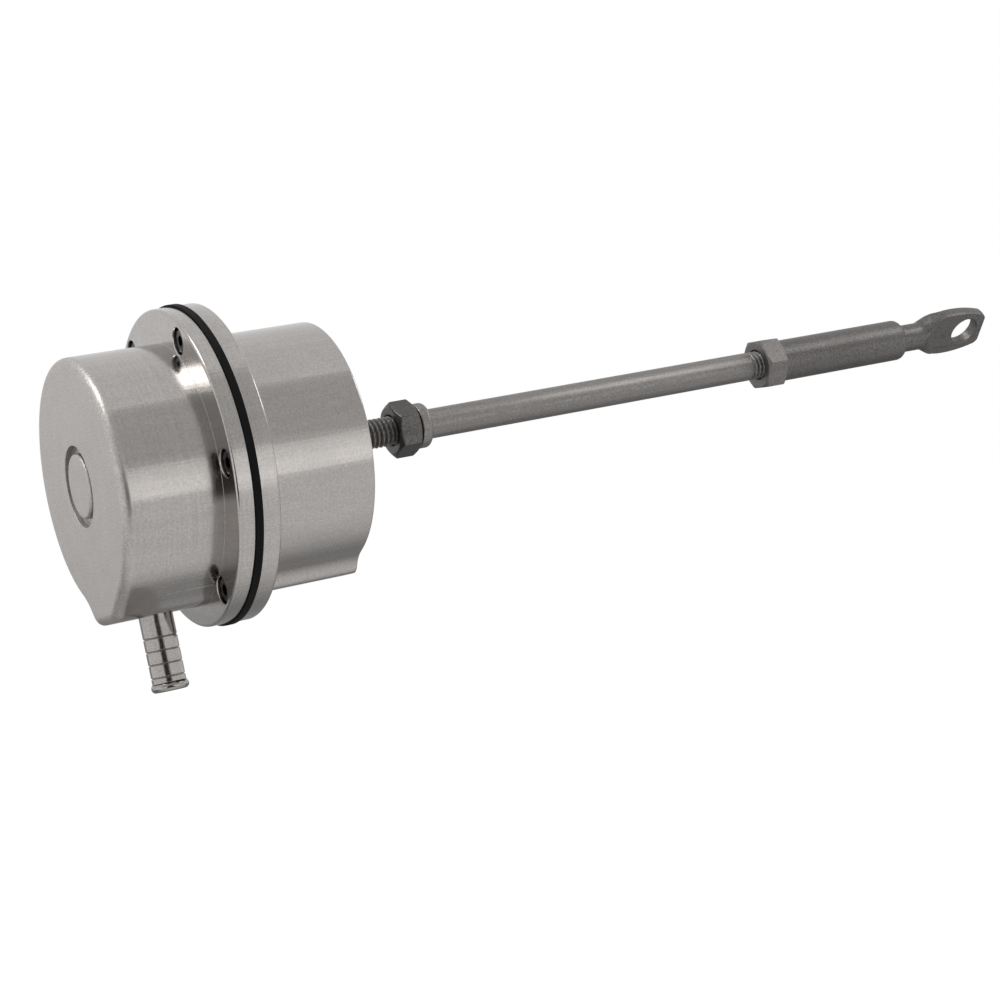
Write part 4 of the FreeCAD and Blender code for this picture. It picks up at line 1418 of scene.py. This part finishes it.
@dataclass(frozen=True)
class HexagonNut:
    """A hexagon nut: a turned ring cut by six flat planes."""

    extent: Extent
    face_share: float
    clocking: float
    flats: float = 10.0
    bore: float = 3.05
    chamfer_slope: float = 30.0
    bore_chamfer: float = 0.3
    face_round: float = 0.15
    corner_margin: float = 0.02
    edge_break: float = 0.14
    steps: int = 144

    def mesh(self) -> bmesh.types.BMesh:
        """The nut's shape in millimetres.

        Returns:
            The nut.
        """
        start = self.extent.low.x
        end = self.extent.high.x
        corner = self.flats / math.sqrt(3.0)
        face = self.flats / 2.0 * self.face_share
        run = (corner - face) * math.tan(math.radians(self.chamfer_slope))
        ring = turned([
            Corner(start, self.bore + self.bore_chamfer),
            Corner(start, face, self.face_round),
            Corner(start + run, corner + self.corner_margin),
            Corner(end - run, corner + self.corner_margin),
            Corner(end, face, self.face_round),
            Corner(end, self.bore + self.bore_chamfer),
            Corner(end - self.bore_chamfer, self.bore),
            Corner(start + self.bore_chamfer, self.bore),
        ], self.steps, closed=True)
        for index in range(6):
            angle = math.radians(60.0 * index + 30.0 + self.clocking)
            normal = Vector((0.0, math.cos(angle), math.sin(angle)))
            cut = bmesh.ops.bisect_plane(
                ring, geom=ring.verts[:] + ring.edges[:] + ring.faces[:], dist=MERGE_DISTANCE,
                plane_co=normal * self.flats / 2.0, plane_no=normal, clear_outer=True,
            )
            loop = [item for item in cut["geom_cut"] if isinstance(item, bmesh.types.BMEdge)]
            bmesh.ops.edgeloop_fill(ring, edges=loop)
        bmesh.ops.recalc_face_normals(ring, faces=ring.faces[:])
        return ring

    def place(self, name: str, body: Body, slot: Slot, palette: Palette, node: str) -> None:
        """Place the nut with its sharp edges broken by a small round.

        Args:
            name: Name of the piece.
            body: The body that it moves with.
            slot: The slot that its finish comes from.
            palette: The finishes.
            node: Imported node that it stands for.
        """
        piece = place_piece(name, self.mesh(), body, slot, palette, [node])
        bevel = piece.modifiers.new("edge_break", "BEVEL")
        bevel.width = self.edge_break * MM
        bevel.segments = 2
        bevel.limit_method = "ANGLE"
        bevel.angle_limit = BEVEL_ANGLE


@dataclass
class PushRod:
    """The shaft, its jam nut and the extension rod, with the hidden stack."""

    palette: Palette
    steps: int = 96
    shaft_radius: float = 3.0
    shoulder_radius: float = 5.0
    shoulder_start: float = -31.5
    shoulder_length: float = 2.0
    shaft_thread_start: float = 8.0
    spigot_radius: float = 2.0
    spigot_length: float = 11.0
    spigot_clearance: float = 0.05
    drill_over: float = 1.5
    drill_tip: float = 1.2
    edge_break: float = 0.3
    corner_round: float = 0.2
    collar_length: float = 2.4
    collar_round: float = 0.8
    collar_foot: float = 0.15
    rod_radius: float = 3.0
    thread_showing: float = 2.6
    thread_under: float = 0.03
    shaft_thread_gap: float = 0.1
    rod_thread_gap: float = 0.4
    nut_face_share: float = 0.92
    nut_clocking: float = -20.0

    def build(self) -> None:
        """Make and dress every piece of the push rod."""
        self.build_shaft()
        self.build_rod()
        nut = HexagonNut(Extent.of("shaft_jam_nut"), self.nut_face_share, self.nut_clocking)
        nut.place("shaft_nut", Body.PUSH_ROD, Slot.DARK_NUT_STEEL, self.palette, "shaft_jam_nut")
        for node, slot in (
            ("piston", Slot.PLAIN_ALUMINIUM),
            ("retainer_plate", Slot.PLAIN_ALUMINIUM),
            ("piston_washer", Slot.ZINC_STEEL),
            ("piston_nut", Slot.ZINC_STEEL),
        ):
            dress_node(node, slot, self.palette)

    def build_shaft(self) -> None:
        """The actuator shaft with its outer thread."""
        extent = Extent.of("actuator_shaft")
        collar = Extent.of("extension_rod").low.x
        shoulder_end = self.shoulder_start + self.shoulder_length
        thread = Thread(self.shaft_thread_start, collar - self.shaft_thread_gap, self.shaft_radius)
        points = outline([
            Corner(extent.low.x, 0.0),
            Corner(extent.low.x, self.shaft_radius, self.edge_break),
            Corner(self.shoulder_start, self.shaft_radius),
            Corner(self.shoulder_start, self.shoulder_radius, self.edge_break),
            Corner(shoulder_end, self.shoulder_radius, self.edge_break),
            Corner(shoulder_end, self.shaft_radius, self.corner_round),
            Corner(thread.start, self.shaft_radius),
        ])
        threaded = self.shaft_radius - self.thread_under
        points += thread.rings(threaded)
        points += outline([
            Corner(collar, threaded),
            Corner(collar, self.spigot_radius),
            Corner(extent.high.x, self.spigot_radius, self.edge_break),
            Corner(extent.high.x, 0.0),
        ])
        mesh = spun(points, self.steps)
        thread.cut(mesh)
        place_piece("shaft", mesh, Body.PUSH_ROD, Slot.STAINLESS, self.palette, ["actuator_shaft"])

    def build_rod(self) -> None:
        """The extension rod: collar, plain length and thread."""
        extent = Extent.of("extension_rod")
        nut = Extent.of("rod_jam_nut")
        collar_radius = extent.high.z
        collar_end = extent.low.x + self.collar_length
        bore = self.spigot_radius + self.spigot_clearance
        bore_end = extent.low.x + self.spigot_length + self.drill_over
        thread_end = extent.high.x - self.rod_thread_gap
        thread = Thread(nut.low.x - self.thread_showing, thread_end, self.rod_radius)
        threaded = self.rod_radius - self.thread_under
        points = [Vector((bore_end + self.drill_tip, 0.0)), Vector((bore_end, bore))]
        points += outline([
            Corner(extent.low.x, bore),
            Corner(extent.low.x, collar_radius, self.edge_break),
            Corner(collar_end, collar_radius, self.collar_round),
            Corner(collar_end, self.rod_radius, self.collar_foot),
            Corner(thread.start, self.rod_radius),
        ])
        points += thread.rings(threaded)
        points += [
            Vector((extent.high.x, threaded - self.rod_thread_gap)),
            Vector((extent.high.x, 0.0)),
        ]
        mesh = spun(points, self.steps)
        thread.cut(mesh)
        place_piece("rod", mesh, Body.PUSH_ROD, Slot.STAINLESS, self.palette, ["extension_rod"])


@dataclass
class RodEnd:
    """The second jam nut and the rod end with its eye."""

    palette: Palette
    steps: int = 192
    barrel_radius: float = 4.43
    barrel_length: float = 32.8
    barrel_round: float = 1.2
    bore_radius: float = 3.05
    bore_depth: float = 25.0
    neck_radius: float = 3.0
    neck_length: float = 4.0
    eye_centre: float = 18.1
    eye_hole: float = 3.3
    hole_break: float = 0.2
    half_width: float = 5.45
    widest_to_hole: float = 4.2
    shoulder_start: float = 5.2
    shoulder_ease: float = 0.25
    shoulder_sweep: float = 0.69
    tip_from_hole: float = 5.05
    tip_half_width: float = 3.9
    tip_corner: float = 1.2
    tip_edge: float = 0.3
    plate: float = 2.6
    press_start: float = 7.9
    press_round: float = 4.6
    press_slope: float = 0.9
    press_blend: float = 0.4
    edge_blend: float = 0.45
    edge_break: float = 0.3
    drill_tip: float = 1.8
    press_overlap: float = 1.5
    ring_gap: float = 0.1
    ring_step: float = 0.16
    tip_rings: tuple[float, ...] = (0.8, 0.4, 0.0)
    side_steps: int = 60
    hole_steps: int = 96
    clocking: float = -43.4
    nut_face_share: float = 0.96
    nut_clocking: float = 6.0

    def __post_init__(self) -> None:
        """Read where the barrel starts and lay out the eye's side."""
        self.start = Extent.of("rod_end").low.x
        self.end = self.start + self.barrel_length
        self.hole = self.end + self.eye_centre
        self.tip = self.hole + self.tip_from_hole
        self.pressed_from = self.end + self.neck_length - self.press_overlap
        self.side = self.side_points()

    def build(self) -> None:
        """Make and dress the jam nut and the rod end."""
        nut = HexagonNut(Extent.of("rod_jam_nut"), self.nut_face_share, self.nut_clocking)
        nut.place("rod_nut", Body.ADJUSTER, Slot.BRIGHT_NUT_STEEL, self.palette, "rod_jam_nut")
        self.build_eye()

    def side_points(self) -> list[Vector]:
        """The eye's side seen square on, from the neck to the tip.

        Returns:
            Points (along, half width) on the shoulder's and the taper's curves.
        """
        shoulder = self.end + self.shoulder_start
        widest = self.hole - self.widest_to_hole
        run = widest - shoulder
        poles = (
            Vector((shoulder, self.neck_radius)),
            Vector((shoulder + self.shoulder_ease * run, self.neck_radius)),
            Vector((widest - self.shoulder_sweep * run, self.half_width)),
            Vector((widest, self.half_width)),
        )
        taper = (
            Vector((widest, self.half_width)),
            Vector(((widest + self.tip) / 2.0, self.half_width)),
            Vector((self.tip, self.tip_half_width)),
        )
        return curve(poles, self.side_steps) + curve(taper, self.side_steps)[1:]

    def half_width_at(self, along: float) -> float:
        """Half the eye's width seen square on, at a place along the rod.

        Args:
            along: Place along the rod.

        Returns:
            The half width in millimetres.
        """
        width = self.side[0].y
        for before, after in zip(self.side, self.side[1:]):
            if before.x <= along <= after.x:
                share = (along - before.x) / (after.x - before.x)
                width = before.y + (after.y - before.y) * share
        corner = max(along - (self.tip - self.tip_corner), 0.0)
        return width - self.tip_corner + math.sqrt(max(self.tip_corner ** 2 - corner ** 2, 0.0))

    def half_thickness_at(self, along: float, across: float) -> float:
        """Half the thickness that the press leaves at one place of the eye.

        Args:
            along: Place along the rod.
            across: Distance from its middle plane, seen square on.

        Returns:
            The half thickness in millimetres.
        """
        edge = self.end + self.press_start + across * across / (2.0 * self.press_round)
        level = smooth_max(0.0, (edge - along) * self.press_slope, self.press_blend)
        end_round = max(along - (self.tip - self.tip_edge), 0.0)
        inset = self.tip_edge - math.sqrt(max(self.tip_edge ** 2 - end_round ** 2, 0.0))
        return self.plate / 2.0 + level - inset

    def press_flat(self, mesh: bmesh.types.BMesh) -> None:
        """Widen the turned bar to the eye's outline and press it flat.

        Args:
            mesh: The turned bar, which is changed in place.
        """
        shoulder = self.side[0].x
        for vert in mesh.verts:
            reach = math.hypot(vert.co.y, vert.co.z)
            if vert.co.x <= self.pressed_from or reach < MERGE_DISTANCE:
                continue
            share = reach / self.neck_radius
            if vert.co.x < self.tip - MERGE_DISTANCE and share < 1.0 - MERGE_DISTANCE:
                continue
            width = self.half_width_at(max(vert.co.x, shoulder))
            across = width * vert.co.y / reach
            height = abs(width * vert.co.z / reach)
            limit = self.half_thickness_at(vert.co.x, across)
            height = max(smooth_min(height, limit, self.edge_blend), 0.0)
            vert.co.y = across * share
            vert.co.z = math.copysign(height, vert.co.z) * share

    def build_eye(self) -> None:
        """The barrel, the neck and the flattened eye in one piece."""
        bore_end = self.start + self.bore_depth
        points = [Vector((bore_end + self.drill_tip, 0.0)), Vector((bore_end, self.bore_radius))]
        points += outline([
            Corner(self.start + self.edge_break, self.bore_radius),
            Corner(self.start, self.bore_radius + self.edge_break),
            Corner(self.start, self.barrel_radius, self.edge_break),
            Corner(self.end, self.barrel_radius, self.barrel_round),
            Corner(self.end, self.neck_radius, self.edge_break),
            Corner(self.pressed_from, self.neck_radius),
        ])
        corner_start = self.tip - self.tip_corner
        points += subdivided(
            Vector((self.pressed_from + self.ring_gap, self.neck_radius)),
            Vector((corner_start, self.neck_radius)), self.ring_step,
        )
        steps = 3 * ROUND_STEPS
        for index in range(1, steps + 1):
            rise = math.sin(math.pi / 2.0 * index / steps)
            points.append(Vector((corner_start + self.tip_corner * rise, self.neck_radius)))
        points += [Vector((self.tip, self.neck_radius * share)) for share in self.tip_rings]
        mesh = spun(points, self.steps)
        self.press_flat(mesh)
        cleaned(mesh)
        mesh = carved(mesh, self.hole_tool())
        moved(mesh, Matrix.Rotation(math.radians(self.clocking), 4, "X"))
        place_piece(
            "rod_eye_end", mesh, Body.ROD_EYE, Slot.STAINLESS, self.palette, ["rod_end"],
            "forged_stainless",
        )

    def hole_tool(self) -> bmesh.types.BMesh:
        """The tool that cuts the eye's hole, wider at both faces by its broken edge.

        Returns:
            The tool.
        """
        half = self.plate / 2.0
        deep = half - self.hole_break
        wide = self.eye_hole + self.hole_break
        far = 2.0 * self.half_width
        tool = turned([
            Corner(-far, 0.0), Corner(-far, wide), Corner(-half, wide),
            Corner(-deep, self.eye_hole), Corner(deep, self.eye_hole),
            Corner(half, wide), Corner(far, wide), Corner(far, 0.0),
        ], self.hole_steps)
        return moved(tool, Matrix.Translation((self.hole, 0.0, 0.0)) @ X_TO_DOWN)


@dataclass(frozen=True)
class Card:
    """A plain card of the studio that shows in reflections alone.

    Its shade may run to another one along Y, which paints a shadow into the reflections.
    """

    name: str
    shade: float
    centre: Vector
    side: Vector
    rise: Vector
    far_shade: float | None = None
    fade: tuple[float, float] = (-0.045, 0.085)

    def build(self) -> None:
        """Put up the card."""
        mesh = bmesh.new()
        bmesh.ops.create_grid(mesh, x_segments=1, y_segments=1, size=1.0)
        axes = Matrix((self.side, self.rise, self.side.cross(self.rise))).transposed()
        moved(mesh, Matrix.Translation(self.centre) @ axes.to_4x4())
        card = as_object(self.name, mesh)
        tree = Tree(bpy.data.materials.new(self.name))
        strength: Any = self.shade
        # Painted shadow: the glow falls along Y from the near shade to the far one.
        if self.far_shade is not None:
            _, depth, _ = tree.split(tree.place())
            strength = depth.ramp(*self.fade, self.shade, self.far_shade)
        card.data.materials.append(tree.finish(tree.glow(strength)))
        card.visible_camera = False
        card.visible_diffuse = False
        card.visible_transmission = False
        card.visible_shadow = False


@dataclass(frozen=True)
class Lamp:
    """A soft square lamp, which may show in reflections."""

    name: str
    place: Vector
    aim: Vector
    size: float
    watts: float
    mirrored: bool = True

    def build(self) -> None:
        """Put up the lamp."""
        data = bpy.data.lights.new(self.name, "AREA")
        data.size = self.size
        data.energy = self.watts
        lamp = bpy.data.objects.new(self.name, data)
        lamp.location = self.place
        lamp.visible_glossy = self.mirrored
        lamp.rotation_mode = "QUATERNION"
        lamp.rotation_quaternion = (self.aim - self.place).to_track_quat("-Z", "Y")
        bpy.context.scene.collection.objects.link(lamp)


@dataclass
class Studio:
    """Floor and world, a softbox on either side with a weak wide fill, the cards and the camera.

    The cards are a grey room behind the camera, a pale backdrop and ceiling, the table under
    the part with a painted shadow behind it, a low card of painted shade at the horizon,
    and the dark shapes of a camera and its stand.
    """

    camera_place: Vector = field(default_factory=lambda: Vector((-0.1785, -0.42878, -0.02991)))
    camera_right: Vector = field(default_factory=lambda: Vector((0.87755, -0.43224, -0.20755)))
    camera_up: Vector = field(default_factory=lambda: Vector((0.17471, -0.11488, 0.9779)))
    lens: float = 85.0
    sensor: float = 36.0
    floor_level: float = -0.14
    floor_reach: float = 4.0
    floor_glow: float = 0.55
    floor_colour: Colour = (0.9, 0.895, 0.885)
    air_light: float = 0.6
    clip: tuple[float, float] = (0.01, 20.0)
    lamps: tuple[Lamp, ...] = (
        Lamp("left_box", Vector((-0.27, -0.1, 0.7)), ORIGIN, 0.3, 1.6),
        Lamp("right_box", Vector((0.45, -0.25, 0.29)), Vector((0.13, 0.0, 0.0)), 0.2, 0.42),
        Lamp("top_fill", Vector((0.1, 0.3, 1.6)), ORIGIN, 1.4, 3.0, mirrored=False),
    )
    cards: tuple[Card, ...] = (
        Card(
            "room_card", 0.6, Vector((0.3, -0.8, 0.72)), Vector((2.6, 0.0, 0.0)),
            Vector((0.0, 0.0, 0.69)),
        ),
        Card(
            "back_card", 0.87, Vector((0.3, 1.2, 0.95)), Vector((2.6, 0.0, 0.0)),
            Vector((0.0, 0.0, 0.9)),
        ),
        Card(
            "ceiling_card", 0.87, Vector((0.3, 0.3, 2.0)), Vector((2.6, 0.0, 0.0)),
            Vector((0.0, 1.3, 0.0)),
        ),
        # Painted shadow: the table's glow falls from 0.84 to 0.3 behind the part.
        Card(
            "shadowed_table_card", 0.84, Vector((0.2, 0.16, -0.135)), Vector((0.7, 0.0, 0.0)),
            Vector((0.0, 0.46, 0.0)), far_shade=0.3,
        ),
        # Painted shade: a dark strip from the table's far edge up to the horizon.
        Card(
            "horizon_shade_card", 0.42, Vector((0.2, 0.62, -0.0715)), Vector((0.7, 0.0, 0.0)),
            Vector((0.0, 0.0, 0.0635)),
        ),
        Card(
            "camera_card", 0.03, Vector((-0.14637, -0.3515996, -0.005)),
            Vector((0.084, -0.035, 0.0)), Vector((0.0, 0.0, 0.03)),
        ),
        Card(
            "stand_card", 0.05, Vector((-0.105315, -0.2529802, -0.084)),
            Vector((0.1, -0.0417, 0.0)), Vector((-0.02142, -0.0514536, 0.049)),
        ),
    )

    def build(self) -> None:
        """Set up the whole studio."""
        bpy.context.scene.view_settings.view_transform = "Standard"
        self.build_world()
        self.build_floor()
        for fitting in (*self.cards, *self.lamps):
            fitting.build()
        self.build_camera()

    def build_world(self) -> None:
        """White to the camera and in reflections, a soft grey as light."""
        world = bpy.data.worlds.new("studio_air")
        bpy.context.scene.world = world
        tree = Tree(world)
        light, white = (
            tree.node("ShaderNodeBackground", None, {"Color": WHITE, "Strength": strength}).out()
            for strength in (self.air_light, 1.0)
        )
        mix = tree.node("ShaderNodeMixShader", None, {0: tree.seen(), 1: light, 2: white})
        tree.finish(mix.out())

    def build_floor(self) -> None:
        """A pale floor that keeps a shadow and is clear from below."""
        mesh = bmesh.new()
        bmesh.ops.create_grid(mesh, x_segments=1, y_segments=1, size=self.floor_reach)
        moved(mesh, Matrix.Translation((0.0, 0.0, self.floor_level)))
        floor = as_object("studio_floor", mesh)
        tree = Tree(bpy.data.materials.new("pale_floor"))
        back = tree.node("ShaderNodeNewGeometry").out("Backfacing")
        matt = tree.node("ShaderNodeBsdfDiffuse", None, {"Color": rgba(self.floor_colour)})
        glow = tree.glow(tree.seen() * self.floor_glow)
        both = tree.node("ShaderNodeAddShader", None, {0: matt.out(), 1: glow})
        clear = tree.node("ShaderNodeBsdfTransparent")
        mix = tree.node("ShaderNodeMixShader", None, {0: back, 1: both.out(), 2: clear.out()})
        floor.data.materials.append(tree.finish(mix.out()))

    def build_camera(self) -> None:
        """The camera at the photograph's angle."""
        data = bpy.data.cameras.new("camera")
        data.lens = self.lens
        data.sensor_width = self.sensor
        data.clip_start, data.clip_end = self.clip
        camera = bpy.data.objects.new("camera", data)
        forward = self.camera_up.cross(self.camera_right)
        turn = Matrix((self.camera_right, self.camera_up, -forward)).transposed()
        camera.matrix_world = Matrix.Translation(self.camera_place) @ turn.to_4x4()
        bpy.context.scene.collection.objects.link(camera)
        bpy.context.scene.camera = camera


def main() -> None:
    """Build the actuator and its studio."""
    logging.basicConfig(level=logging.INFO, format="%(name)s %(message)s")
    palette = Palette()
    Casing(palette).build()
    PushRod(palette).build()
    RodEnd(palette).build()
    Studio().build()


if __name__ == "__main__":
    main()
